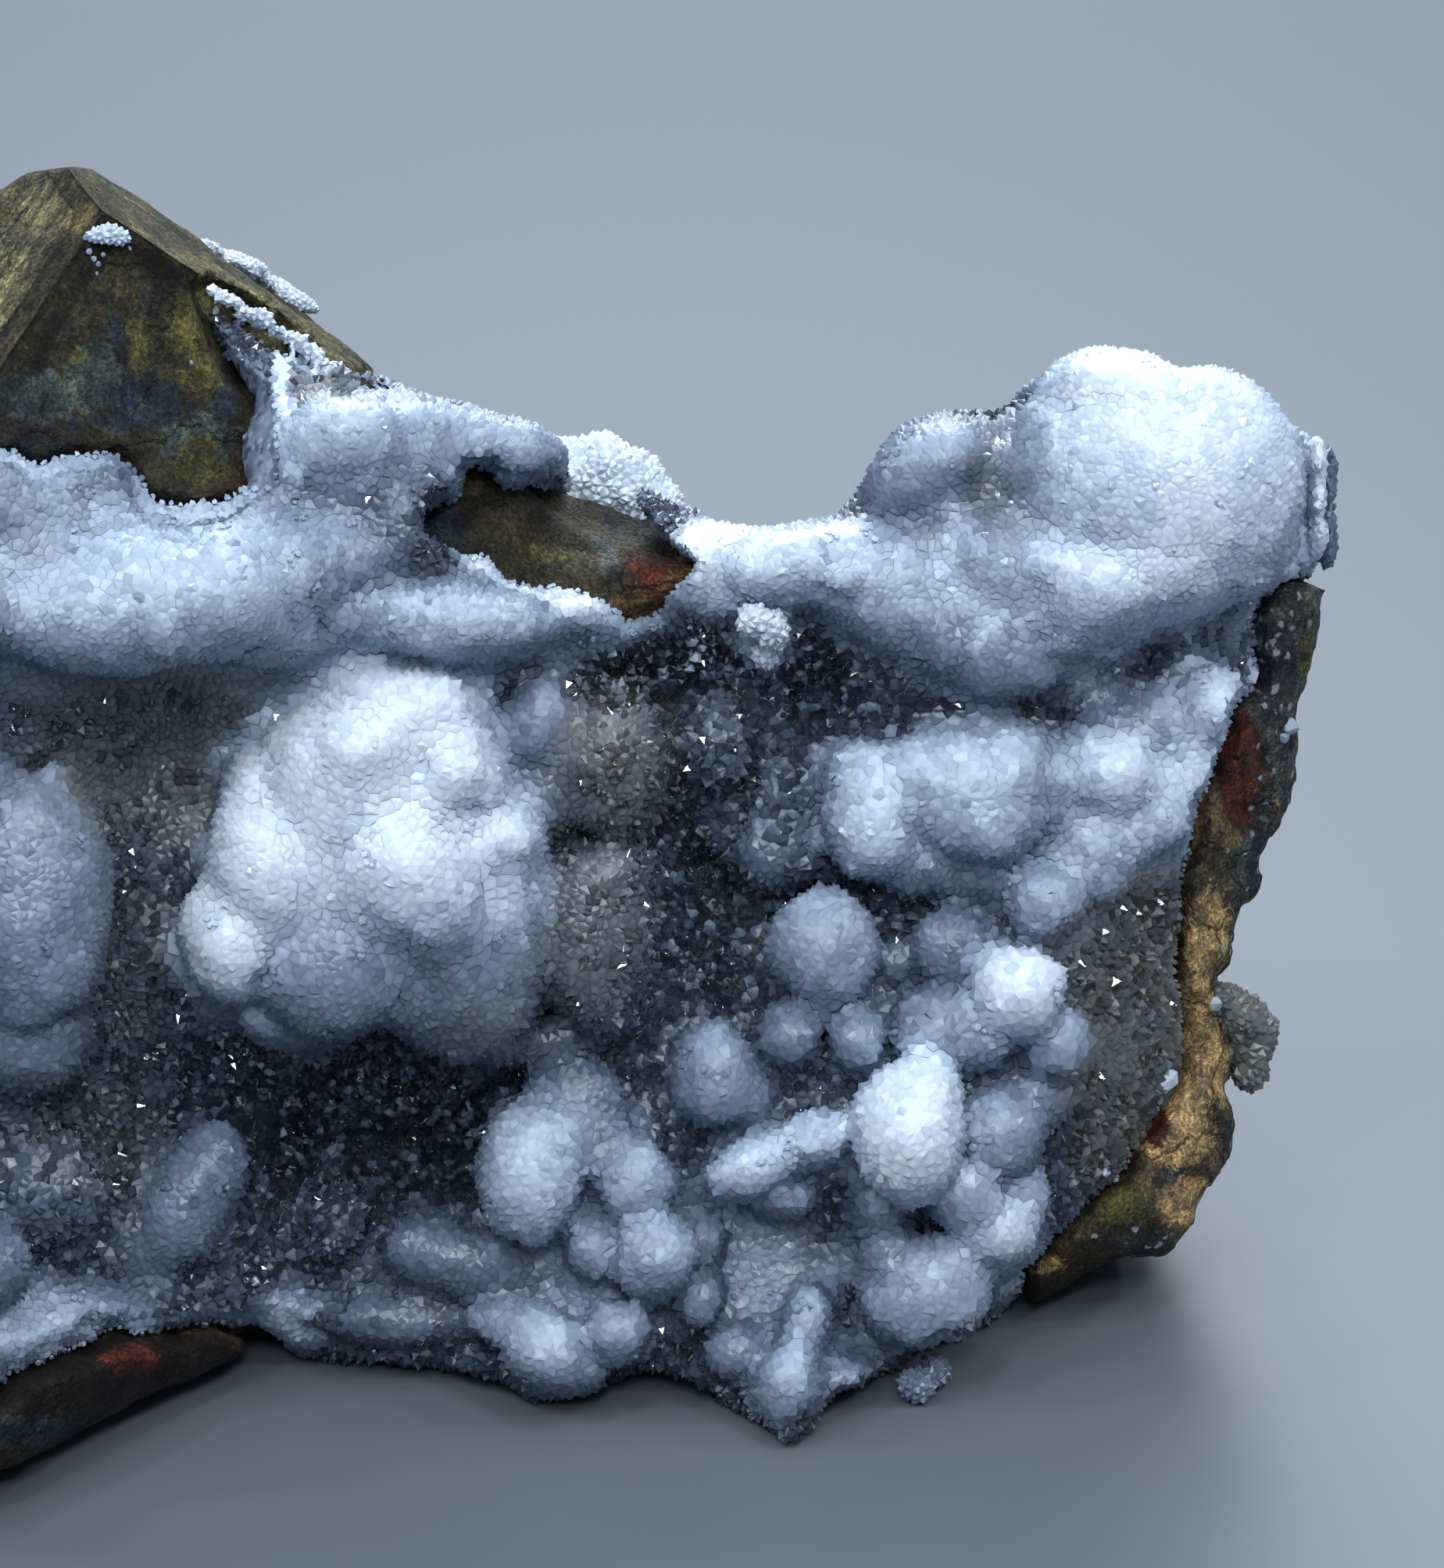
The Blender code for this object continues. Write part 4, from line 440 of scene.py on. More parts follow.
def crisp(verts):
    """Draw the vertices near the meeting of two broken faces onto the ridge between them."""
    x, y, z = (verts[:, i].astype(np.float32) for i in range(3))
    rock, crust, outer, body = solids(x, y, z)
    u, v = project(x, y, z)
    gritty = noise(x, y, z, 3.1, 8) * 0.25
    grain = 0.20 * np.abs(noise(x, y, z, 2.4, 7)) + noise(x, y, z, 1.15, 9) * 0.13 + noise(x, y, z, 0.62, 10) * 0.06
    fade = 7.0 * ramp(455, 560, u) + 60.0 * ramp(560, 900, u) + 9.0 * ramp(600, 720, v) + 40.0 * ramp(720, 1100, v)
    uneven = noise(x, y, z, 13, 5) * 1.6 + noise(x, y, z, 5.3, 6) * 0.7 + 0.35 * np.abs(noise(x, y, z, 4.0, 11)) + grain
    out = verts.copy()
    for planes, extra in (([(n, d, PEAK_GRIT * a) for (n, d), a in PEAK], gritty + 0.7 * grain), ([(n, d, 1.0) for n, d in BACK], uneven)):
        reach = np.stack([verts @ n - d + a * extra for n, d, a in planes], 1)
        if planes[0][0] is PEAK_FRONT[0]:
            reach = reach - fade[:, None]
        order = np.argsort(reach, axis=1)
        first, second = order[:, -1], order[:, -2]
        rows = np.arange(len(verts))
        d1, d2 = reach[rows, first], reach[rows, second]
        chosen = np.flatnonzero((np.abs(d1) < 0.4) & (d2 > d1 - 0.5) & (u > (-70 if planes[0][0] is PEAK_FRONT[0] else -1e4)))
        normals = np.array([n for n, d, a in planes])
        n1, n2 = normals[first[chosen]], normals[second[chosen]]
        dot = (n1 * n2).sum(1)
        det = 1 - dot * dot
        a, b = -d1[chosen], -d2[chosen]
        k1, k2 = (a - dot * b) / det, (b - dot * a) / det
        move = n1 * k1[:, None] + n2 * k2[:, None]
        far = np.linalg.norm(move, axis=1)
        to = (verts[chosen] + move).astype(np.float32)
        ok = (far < 0.7) & (det > 0.02) & (solids(to[:, 0].copy(), to[:, 1].copy(), to[:, 2].copy())[0] < 0.12)
        out[chosen[ok]] += move[ok]
    out[:, 2] = np.maximum(out[:, 2], 0)
    return out


def largest(verts, faces):
    label = np.arange(len(verts))
    while True:
        low = label[faces].min(axis=1)
        new = label.copy()
        for c in range(faces.shape[1]):
            np.minimum.at(new, faces[:, c], low)
        new = new[new]
        if (new == label).all():
            break
        label = new
    names, counts = np.unique(label[faces[:, 0]], return_counts=True)
    faces = faces[label[faces[:, 0]] == names[counts.argmax()]]
    used, index = np.unique(faces, return_inverse=True)
    return verts[used], index.reshape(-1, faces.shape[1])


def unit(a):
    return a / np.maximum(np.linalg.norm(a, axis=-1, keepdims=True), 1e-9)


def to_world(p):
    return (np.asarray(p, float) - np.array([*CENTRE, 0.0])) * 0.001


def make_mesh(name, verts, faces, smooth=True):
    """A mesh from points (mm) and an array of equal faces, or a list of such arrays."""
    groups = faces if isinstance(faces, list) else [faces]
    mesh = bpy.data.meshes.new(name)
    mesh.vertices.add(len(verts))
    mesh.vertices.foreach_set("co", to_world(verts).astype(np.float32).ravel())
    loops = np.concatenate([f.ravel() for f in groups]).astype(np.int32)
    sizes = np.concatenate([np.full(len(f), f.shape[1]) for f in groups])
    mesh.loops.add(len(loops))
    mesh.loops.foreach_set("vertex_index", loops)
    mesh.polygons.add(len(sizes))
    mesh.polygons.foreach_set("loop_start", np.concatenate([[0], np.cumsum(sizes)[:-1]]).astype(np.int32))
    mesh.update(calc_edges=True)
    if smooth:
        mesh.shade_smooth()
    else:
        mesh.shade_flat()
    obj = bpy.data.objects.new(name, mesh)
    bpy.context.scene.collection.objects.link(obj)
    return obj


def soften(obj, facet_weight, rounded):
    """Face normals leaning towards the round form under the points; rounded holds one normal for each vertex."""
    mesh = obj.data
    count = len(mesh.loops)
    loop_vert = np.empty(count, np.int32)
    mesh.loops.foreach_get("vertex_index", loop_vert)
    starts = np.empty(len(mesh.polygons), np.int32)
    mesh.polygons.foreach_get("loop_start", starts)
    face_n = np.empty(len(mesh.polygons) * 3, np.float32)
    mesh.polygons.foreach_get("normal", face_n)
    face_n = face_n.reshape(-1, 3)
    per = np.diff(np.append(starts, count))
    own = np.repeat(face_n, per, axis=0)
    base = rounded[loop_vert]
    agree = (own * base).sum(1) > 0.05
    mixed = unit(own * facet_weight + base * (1 - facet_weight))
    mixed[~agree] = own[~agree]
    mesh.shade_smooth()
    mesh.normals_split_custom_set(mixed.astype(np.float32))


def tint(obj, colours, name="tone"):
    data = obj.data.color_attributes.new(name, "FLOAT_COLOR", "POINT")
    rgba = np.ones((len(colours), 4), np.float32)
    rgba[:, :colours.shape[1]] = colours
    data.data.foreach_set("color", rgba.ravel())


def thin(obj, triangles):
    """Fewer triangles, most of them kept where the surface is busy."""
    have = sum(max(1, len(p.vertices) - 2) for p in obj.data.polygons)
    if have <= triangles:
        return
    m = obj.modifiers.new("thin", "DECIMATE")
    m.ratio = triangles / have
    bpy.context.view_layer.update()
    mesh = bpy.data.meshes.new_from_object(obj.evaluated_get(bpy.context.evaluated_depsgraph_get()))
    obj.modifiers.clear()
    old, obj.data = obj.data, mesh
    bpy.data.meshes.remove(old)


def sunk(obj, depth):
    """Move a surface inwards by a depth in mm, so that only the quartz points on it show."""
    p, n = points_of(obj)
    q = p - n * depth
    q[:, 2] = np.maximum(q[:, 2], 0.0)
    obj.data.vertices.foreach_set("co", to_world(q).astype(np.float32).ravel())
    obj.data.update()


def points_of(obj):
    """Vertices of a piece in drawing millimetres, and their normals."""
    n = len(obj.data.vertices)
    co, no = np.empty(n * 3, np.float32), np.empty(n * 3, np.float32)
    obj.data.vertices.foreach_get("co", co)
    obj.data.vertex_normals.foreach_get("vector", no)
    return co.reshape(-1, 3) * 1000 + np.array([*CENTRE, 0.0], np.float32), no.reshape(-1, 3)


# ---------------------------------------------------------------- where the quartz is milky, and where the rock is stained
def blobs(u, v, base, spots):
    """Value over the drawing: each spot (u, v, half width, half height, value) fades in over the ones before it."""
    value = np.broadcast_to(np.asarray(base, np.float32), u.shape + np.shape(base)).copy()
    for su, sv, ru, rv, val in spots:
        w = ramp(1.35, 0.55, np.hypot((u - su) / ru, (v - sv) / rv))
        w = w[..., None] if value.ndim > u.ndim else w
        value = value * (1 - w) + np.asarray(val, np.float32) * w
    return value

# ---------------------------------------------------------------- where the quartz is milky, where shade is painted on
# quartz and rock, and where the rock is stained

# milkiness over the drawing: u, v, half width, half height, value; the low values under the big lump (500, 1440), in
# the recess left of it (200, 980) and in the black cavity (812, 874) are partly clear quartz over dark rock and partly
# painted shade of the overhang and recesses
MILK_SPOTS = [
    (-250, 1100, 300, 500, 0.40), (210, 745, 330, 140, 0.74), (20, 665, 170, 75, 0.66), (600, 560, 150, 60, 0.66), (480, 540, 110, 70, 0.66), (300, 412, 36, 42, 0.34), (412, 502, 44, 40, 0.34), (326, 535, 19, 82, 0.44), (366, 470, 14, 34, 0.92), (368, 555, 20, 66, 0.92), (276, 377, 18, 10, 0.97), (303, 393, 18, 10, 0.97), (330, 410, 18, 10, 0.97), (357, 427, 18, 10, 0.97), (384, 443, 18, 10, 0.97), (412, 460, 18, 10, 0.97), (560, 690, 60, 70, 0.24), (600, 790, 130, 50, 0.76), (700, 800, 140, 40, 0.70),
    (620, 728, 42, 22, 0.98), (680, 757, 52, 22, 1.0), (742, 780, 50, 20, 0.98), (905, 736, 38, 48, 0.98), (872, 700, 22, 30, 0.96), (960, 700, 90, 40, 0.97),
    (1060, 720, 130, 60, 0.92), (1228, 622, 66, 90, 0.24), (1290, 780, 200, 100, 0.92), (1180, 760, 90, 70, 0.72), (1400, 810, 130, 50, 0.86), (1668, 640, 60, 120, 0.92), (1150, 890, 140, 44, 0.18), (1530, 850, 90, 40, 0.24),
    (1450, 1020, 130, 100, 0.84), (990, 868, 130, 84, 0.10), (812, 874, 74, 28, 0.0), (905, 1130, 60, 210, 0.13), (1020, 1145, 64, 40, 0.0), (1450, 1290, 84, 200, 0.29), (1440, 1335, 46, 52, 0.37), (1040, 1640, 48, 66, 0.14),
    (500, 1440, 230, 125, 0.08), (200, 980, 150, 150, 0.34), (520, 1020, 110, 120, 0.95), (600, 1160, 90, 90, 0.85), (430, 1190, 80, 90, 0.85), (170, 1240, 80, 170, 0.28), (120, 1440, 84, 70, 0.26), (70, 1700, 130, 66, 0.70), (375, 1685, 62, 46, 0.82),
    (590, 1610, 130, 60, 0.44), (760, 1640, 120, 80, 0.56), (950, 1590, 90, 110, 0.58), (1110, 1740, 110, 50, 0.56), (1290, 1600, 60, 90, 0.66), (730, 840, 60, 40, 0.40), (800, 1090, 40, 40, 0.22), (975, 812, 46, 50, 0.98), (1150, 1300, 60, 60, 0.40),
]
# painted shade: the quartz darkened in hollows and creases and on the sides of the dome that turn from the light; u, v,
# half width, half height, how much
SHADE_SPOTS = [(1398, 645, 80, 90, 0.20), (1640, 640, 70, 110, 0.13), (1286, 628, 54, 84, 0.66), (1304, 560, 34, 46, 0.5), (812, 874, 80, 30, 1.0), (1330, 905, 70, 22, 0.5), (560, 690, 40, 60, 0.7)]
SIZE_SPOTS = [(990, 868, 150, 100, 0.78), (500, 1440, 260, 150, 0.72), (905, 1130, 70, 220, 0.75), (200, 980, 170, 160, 0.72), (1450, 1290, 90, 200, 0.85)]


def milkiness(p, normal):
    """Milkiness, with painted shade in it, and point size at points (mm) on the crust, its field, and its place in the
    drawing.
    """
    x, y, z = (p[:, i].astype(np.float32) for i in range(3))
    rock, crust, outer, body = solids(x, y, z, fine=False)
    u, v = project(x, y, z)
    wu, wv = u + 20 * noise(x, y, z, 4.5, 41), v + 20 * noise(x, y, z, 4.5, 42)
    milk = np.maximum(blobs(wu, wv, 0.24, MILK_SPOTS), 0.58 * ramp(0.5, 4.0, y - look_up(FACE, u, v)))
    size = blobs(u, v, 0.8, SIZE_SPOTS)
    weight = np.zeros(len(p), np.float32)
    lump_milk, lump_size = np.zeros(len(p), np.float32), np.zeros(len(p), np.float32)
    for centre, axes, radii, m, s in LUMP_FRAMES:
        near = np.flatnonzero(((p - centre) ** 2).sum(1) < (radii.max() * 1.5 + 2) ** 2)
        if not len(near):
            continue
        d = (lump_field(x[near], y[near], z[near], centre, axes) - 1) * radii.min()
        w = ramp(1.8, -0.5, d) + 1e-6
        weight[near] += w
        lump_milk[near] += w * m
        lump_size[near] += w * s
    safe = np.maximum(weight, 1e-6)
    # a lump is painted lighter at its top and front, where it faces up and towards the front, and darker on its
    # downward flanks: partly its milky core, partly painted light and shade; it is also a little greyer where it lies
    # close to the body
    lit_crown = ramp(0.05, 0.8, -normal[:, 1] * COS + normal[:, 2] * (SIN + 0.25))
    on_lump = np.clip(weight / 0.35, 0, 1) * ramp(-0.15, 0.40, body)
    milk = milk * (1 - on_lump) + lump_milk / safe * (0.80 + 0.20 * lit_crown) * (0.78 + 0.22 * ramp(0.0, 1.5, body)) * on_lump
    size = size * (1 - on_lump) + lump_size / safe * on_lump
    # painted shade from the table above: darker in the hollows, creases and on the sides of the dome
    milk = milk * (1 - 0.64 * blobs(wu, wv, 0.0, SHADE_SPOTS)) + 0.035 * noise(x, y, z, 2.6, 43)
    return np.clip(milk, 0, 1), size, body, outer, u, v, rock


# where the quartz is brownish or cream: u, v, half width, half height, how much
WARM_SPOTS = [(1450, 1290, 100, 210, 1.0), (1380, 1180, 70, 60, 0.6), (785, 980, 90, 120, 0.75), (755, 1190, 90, 120, 0.6), (200, 960, 170, 130, 0.8), (170, 1240, 60, 130, 0.4), (640, 1320, 70, 50, 0.4), (1440, 1480, 70, 80, 1.0),
              (1250, 600, 60, 80, 0.4), (120, 1450, 90, 80, 0.5), (410, 500, 60, 50, 0.5)]


def warmed(colour, u, v, milk):
    w = (blobs(u, v, 0.0, WARM_SPOTS) * ramp(0.66, 0.46, milk))[:, None]
    return colour * (1 + w * np.array((0.30, 0.04, -0.26)))


UMBER, OLIVE, OCHRE, YELLOW, RUST = (0.026, 0.017, 0.010), (0.032, 0.027, 0.010), (0.150, 0.098, 0.045), (0.120, 0.098, 0.022), (0.080, 0.020, 0.012)
SLATE, NAVY, CREAM, TAUPE, PURPLE, SOOT = (0.030, 0.038, 0.042), (0.008, 0.011, 0.020), (0.36, 0.35, 0.31), (0.075, 0.064, 0.048), (0.045, 0.028, 0.048), (0.006, 0.005, 0.005)
# stains of the rock: each kind is a list of ellipses (u, v, half width, half height); the material gives them ragged edges
STAINS = {
    "yellow": [(248, 420, 32, 62), (236, 400, 26, 34), (262, 475, 24, 30), (178, 445, 13, 42), (104, 455, 9, 12), (255, 590, 30, 34), (1674, 832, 14, 40), (1440, 1545, 40, 24), (700, 712, 30, 10)],
    "slate": [(45, 505, 62, 34), (120, 485, 40, 44), (776, 712, 10, 46), (250, 560, 56, 36), (1655, 800, 14, 40), (290, 345, 40, 8), (1600, 1095, 20, 34), (1690, 1110, 30, 200)],
    "navy": [(190, 514, 46, 32), (193, 410, 8, 40), (150, 430, 14, 30), (160, 540, 60, 14), (560, 690, 30, 46), (285, 520, 14, 60), (20, 575, 60, 12), (1700, 610, 14, 44), (60, 1835, 110, 24), (1500, 1490, 16, 18), (1630, 885, 12, 20)],
    "rust": [(1590, 985, 26, 70), (1588, 1030, 20, 30), (830, 720, 26, 34), (176, 1740, 40, 20), (1480, 1440, 16, 30)],
    "ochre": [(1545, 1195, 32, 60), (1530, 1310, 34, 70), (1500, 1430, 56, 66), (1560, 1360, 30, 50), (1530, 1540, 50, 30), (1330, 1620, 30, 10)],
    "soot": [(1630, 860, 30, 90), (1655, 770, 20, 40), (1620, 1080, 18, 90), (1585, 1180, 14, 60), (1580, 1480, 16, 84), (1465, 1590, 48, 16), (1560, 1570, 30, 24), (1120, 1800, 60, 20), (1650, 980, 10, 60), (1612, 1150, 12, 60)],
}
# colours of the rock's regions: u, v, half width, half height, colour
REGIONS = [
    (130, 420, 260, 260, (0.024, 0.022, 0.013)), (30, 560, 60, 26, (0.014, 0.013, 0.012)), (413, 500, 50, 50, TAUPE), (302, 414, 38, 44, TAUPE),
    # the blue-black spot at (560, 690) beside the window is partly painted shade
    (715, 690, 160, 100, (0.022, 0.019, 0.011)), (560, 690, 34, 50, (0.016, 0.020, 0.028)),
    (1640, 860, 80, 180, (0.058, 0.063, 0.070)), (1590, 985, 40, 90, (0.024, 0.017, 0.016)), (1560, 1190, 70, 100, (0.050, 0.042, 0.030)), (1540, 1400, 120, 190, (0.060, 0.045, 0.030)), (1400, 1590, 120, 50, (0.028, 0.021, 0.011)), (1700, 610, 30, 60, SOOT),
    # near-black along the bottom edge under the lip at (150, 1790): painted shade under the overhang
    (150, 1790, 330, 90, (0.0075, 0.005, 0.0045)), (1110, 1795, 90, 40, (0.022, 0.017, 0.011)),
]


def rock_colour(p, n):
    x, y, z = (p[:, i].astype(np.float32) for i in range(3))
    u, v = project(x, y, z)
    a, b, c, d = (noise(x, y, z, s, k) for s, k in ((11, 51), (6, 52), (3, 53), (8, 54)))
    base = np.tile(np.array(UMBER, np.float32), (len(p), 1))
    for colour, w in ((OCHRE, ramp(-0.1, 0.6, a + 0.4 * b)), (SLATE, ramp(0.15, 0.7, b - 0.3 * a)), (RUST, 0.7 * ramp(0.35, 0.8, d + 0.3 * c)), (TAUPE, 0.6 * ramp(0.2, 0.8, -b + 0.5 * c))):
        base = base * (1 - w[:, None]) + np.array(colour, np.float32) * w[:, None]
    wu, wv = u + 14 * b + 8 * c, v + 14 * a + 8 * noise(x, y, z, 2.2, 55)
    shown = front_share(y, u, v, n)
    painted = base.copy()
    for su, sv, ru, rv, colour in REGIONS:
        w = ramp(1.15, 0.8, np.hypot((wu - su) / ru, (wv - sv) / rv))[:, None]
        painted = painted * (1 - w) + np.array(colour, np.float32) * w
    return base * (1 - shown[:, None]) + painted * shown[:, None]


def front_share(y, u, v, n):
    return ramp(14, 6, y - look_up(FACE, u, v)) * ramp(0.25, -0.25, n[:, 1] * COS - n[:, 2] * SIN)


def stain_edges(obj, p, n):
    """For each kind of stain how far inside its outline a point lies: 0.5 on the outline, 1 more for every 30 pixels inwards."""
    x, y, z = (p[:, i].astype(np.float32) for i in range(3))
    u, v = project(x, y, z)
    hidden = 1 - front_share(y, u, v, n)
    bx, by, bz = (c + 3.5 * noise(x, y, z, 6, k) + 1.6 * noise(x, y, z, 2.5, k + 3) for c, k in ((x, 94), (y, 95), (z, 96)))
    wild = [noise(bx, by, bz, s, k) + 0.40 * noise(bx, by, bz, s * 0.4, k + 20) for s, k in ((17, 81), (14, 82), (18, 83), (16, 84), (15, 85), (13, 86))]
    values = []
    for (kind, spots), w in zip(STAINS.items(), wild):
        m = np.full(len(p), -1.0, np.float32)
        for su, sv, ru, rv in spots:
            m = np.maximum(m, 0.5 + (1 - np.hypot((u - su) / ru, (v - sv) / rv)) * min(ru, rv) / 30.0)
        back = 0.5 + (w - 0.80) * 2.6
        values.append(np.clip(m * (1 - hidden) + back * hidden, -1, 2))
    for name, three in (("stains_a", values[:3]), ("stains_b", values[3:])):
        data = obj.data.attributes.new(name, "FLOAT_VECTOR", "POINT")
        data.data.foreach_set("vector", np.stack(three, 1).astype(np.float32).ravel())
    # the flat faces of the peak, whose colours carry painted light: left face, ledge (with the left face), top face;
    # above zero on the face
    reach = {k: x * np.float32(q[0][0]) + y * np.float32(q[0][1]) + z * np.float32(q[0][2]) - np.float32(q[1]) for k, q in (("front", PEAK_FRONT), ("top", PEAK_TOP), ("left", PEAK_LEFT), ("ledge", LEDGE))}
    away = np.where((z > 50 + 12 * noise(x, y, z, 13, 91) + 5 * noise(x, y, z, 3.5, 90)) & (u < 560) & (y < 34 + 10 * noise(x, y, z, 12, 92) + 4 * noise(x, y, z, 3, 93)), 0, 90)
    a = reach["left"] - np.maximum(np.maximum(reach["ledge"], reach["front"]), reach["top"]) - away
    b = np.maximum(reach["ledge"], reach["left"]) - np.maximum(reach["front"], reach["top"]) - away
    c = reach["top"] - np.maximum(np.maximum(reach["front"], reach["ledge"]), reach["left"]) - away
    data = obj.data.attributes.new("facets", "FLOAT_VECTOR", "POINT")
    data.data.foreach_set("vector", np.clip(np.stack([a, b, c], 1), -4, 4).astype(np.float32).ravel())


def cleavage(obj, p):
    """Coordinates drawn out along the cleavage of the peak, and how fibrous the rock is there."""
    x, y, z = (p[:, i].astype(np.float32) for i in range(3))
    u, v = project(x, y, z)
    near = [np.abs(x * np.float32(n[0]) + y * np.float32(n[1]) + z * np.float32(n[2]) - np.float32(d)) for n, d in (PEAK_LEFT, LEDGE, PEAK_TOP)]
    peak = (z > 45) * (u < 520)
    left = ramp(1.4, 0.7, near[0]) * peak
    top = np.maximum(ramp(1.2, 0.6, near[2]), ramp(1.2, 0.6, near[1])) * peak * (1 - left)
    along = (RIDGE_RIGHT - RIDGE_TOP) / np.linalg.norm(RIDGE_RIGHT - RIDGE_TOP)
    turned = []
    for way, w in ((ALONG, left), (along, top), (np.array([0.35, 0.1, 0.93]), 1 - left - top)):
        q = p - way * (p @ way)[:, None] * 0.86
        turned.append(q * np.asarray(w)[:, None])
    data = obj.data.attributes.new("cleavage", "FLOAT_VECTOR", "POINT")
    data.data.foreach_set("vector", (sum(turned) * 0.9).astype(np.float32).ravel())
    amount = np.clip(1.0 * left + 0.85 * top + 0.25 * peak * ramp(8, 4, y - look_up(FACE, u, v)), 0, 1) + 0.08
    data = obj.data.attributes.new("fibrous", "FLOAT", "POINT")
    data.data.foreach_set("value", np.clip(amount, 0, 1).astype(np.float32))


# ---------------------------------------------------------------- quartz points
def scatter(verts, faces, wanted, spacing_of, candidates):
    """Points on chosen faces, no two closer than the spacing there."""
    tri = np.concatenate([faces[wanted][:, [0, 1, 2]], faces[wanted][:, [0, 2, 3]]]) if faces.shape[1] == 4 else faces[wanted]
    a, b, c = verts[tri[:, 0]], verts[tri[:, 1]], verts[tri[:, 2]]
    cross = np.cross(b - a, c - a)
    area = np.linalg.norm(cross, axis=1) / 2
    pick = rng.choice(len(tri), candidates, p=area / area.sum())
    r1, r2 = np.sqrt(rng.random(candidates)), rng.random(candidates)
    p = a[pick] * (1 - r1)[:, None] + b[pick] * (r1 * (1 - r2))[:, None] + c[pick] * (r1 * r2)[:, None]
    spacing = spacing_of(p)
    tree = KDTree(candidates)
    for i, q in enumerate(p.tolist()):
        tree.insert(q, i)
    tree.balance()
    alive = np.ones(candidates, bool)
    kept = []
    rows = p.tolist()
    gaps = spacing.tolist()
    for i in range(candidates):
        if not alive[i]:
            continue
        kept.append(i)
        for _, j, _ in tree.find_range(rows[i], gaps[i]):
            alive[j] = False
    kept = np.array(kept)
    return p[kept], tri[pick[kept]], spacing[kept], area.sum()


def refined(verts, faces):
    """Every quad cut into four; returns triangles."""
    a, b, c, d = faces.T
    pairs = np.sort(np.concatenate([np.stack([a, b], 1), np.stack([b, c], 1), np.stack([c, d], 1), np.stack([d, a], 1)]), axis=1)
    edges, where = np.unique(pairs[:, 0].astype(np.int64) * len(verts) + pairs[:, 1], return_inverse=True)
    mid = (verts[edges // len(verts)] + verts[edges % len(verts)]) / 2
    n, m = len(faces), len(verts)
    ab, bc, cd, da = (where[k * n:(k + 1) * n] + m for k in range(4))
    e = np.arange(n) + m + len(edges)
    out = np.concatenate([verts, mid, verts[faces].mean(axis=1)])
    quads = np.concatenate([np.stack(q, 1) for q in ((a, ab, e, da), (ab, b, bc, e), (e, bc, c, cd), (da, e, cd, d))])
    turn = rng.random(len(quads)) < 0.5
    quads[turn] = np.roll(quads[turn], 1, axis=1)
    return out, np.concatenate([quads[:, [0, 1, 2]], quads[:, [0, 2, 3]]])


def tiled(verts, faces, sites, normals, rise, sink, lean):
    """Six-sided quartz points that meet edge to edge: each stands on the part of the surface nearest to its site. Returns closed points as (vertices, triangles, owner) and the sites left over."""
    fine_v, fine_t = refined(verts, faces)
    used = np.unique(fine_t)
    tree = KDTree(len(sites))
    for i, q in enumerate(sites.tolist()):
        tree.insert(q, i)
    tree.balance()
    label = np.full(len(fine_v), -1, np.int64)
    label[used] = [tree.find(q)[1] for q in fine_v[used].tolist()]
    l = label[fine_t]
    corner = (l[:, 0] != l[:, 1]) & (l[:, 1] != l[:, 2]) & (l[:, 2] != l[:, 0])
    l, spot = l[corner], fine_v[fine_t[corner]].mean(axis=1)
    n, count = len(sites), len(l)
    tails, heads = l.T.ravel(), np.roll(l, -1, axis=1).T.ravel()
    owner_tri = np.tile(np.arange(count), 3)
    key = tails * n + heads
    order = np.argsort(key, kind="stable")
    sorted_key = key[order]
    bad = np.zeros(n, bool)
    twice = np.flatnonzero(sorted_key[1:] == sorted_key[:-1])
    bad[tails[order[twice]]] = bad[heads[order[twice]]] = True
    back = heads * n + tails
    at = np.clip(np.searchsorted(sorted_key, back), 0, len(sorted_key) - 1)
    found = sorted_key[at] == back
    partner = owner_tri[order[at]]
    owner, first, second = heads[found], owner_tri[found], partner[found]
    sides = np.bincount(owner, minlength=n)
    corners = np.bincount(l.ravel(), minlength=n)
    bad |= (sides != corners) | (sides < 4) | (sides > 10)
    keep = ~bad[owner]
    owner, first, second = owner[keep], first[keep], second[keep]
    # own copies of the corners for each point
    pair = np.unique(np.concatenate([owner * count + first, owner * count + second]))
    pair_owner, pair_tri = pair // count, pair % count
    good = np.unique(owner)
    slot = np.full(n, -1)
    slot[good] = np.arange(len(good))
    low = spot[pair_tri] - normals[pair_owner] * sink[pair_owner][:, None]
    # corners drawn in a little, so that neighbours part along a fine groove
    low += (sites[pair_owner] - low) * 0.02
    g = good
    side = unit(np.cross(normals[g], rng.normal(size=(len(g), 3))))
    top = sites[g] + normals[g] * rise[g][:, None] + side * lean[g][:, None]
    under = sites[g] - normals[g] * (sink[g] + 0.30)[:, None]
    out = np.concatenate([low, top, under])
    a = np.searchsorted(pair, owner * count + first)
    b = np.searchsorted(pair, owner * count + second)
    t = len(pair) + slot[owner]
    d = len(pair) + len(g) + slot[owner]
    tris = np.concatenate([np.stack([t, a, b], 1), np.stack([d, b, a], 1)])
    vert_owner = np.concatenate([pair_owner, g, g])
    level = np.concatenate([np.zeros(len(pair)), np.ones(len(g)), np.zeros(len(g))])
    return out, tris, vert_owner, np.concatenate([owner, owner]), np.flatnonzero(bad), level


def pick(verts, tris, tri_owner, chosen):
    """The part of a set of points whose owners are chosen."""
    t = tris[chosen[tri_owner]]
    used, index = np.unique(t, return_inverse=True)
    return used, index.reshape(-1, 3)


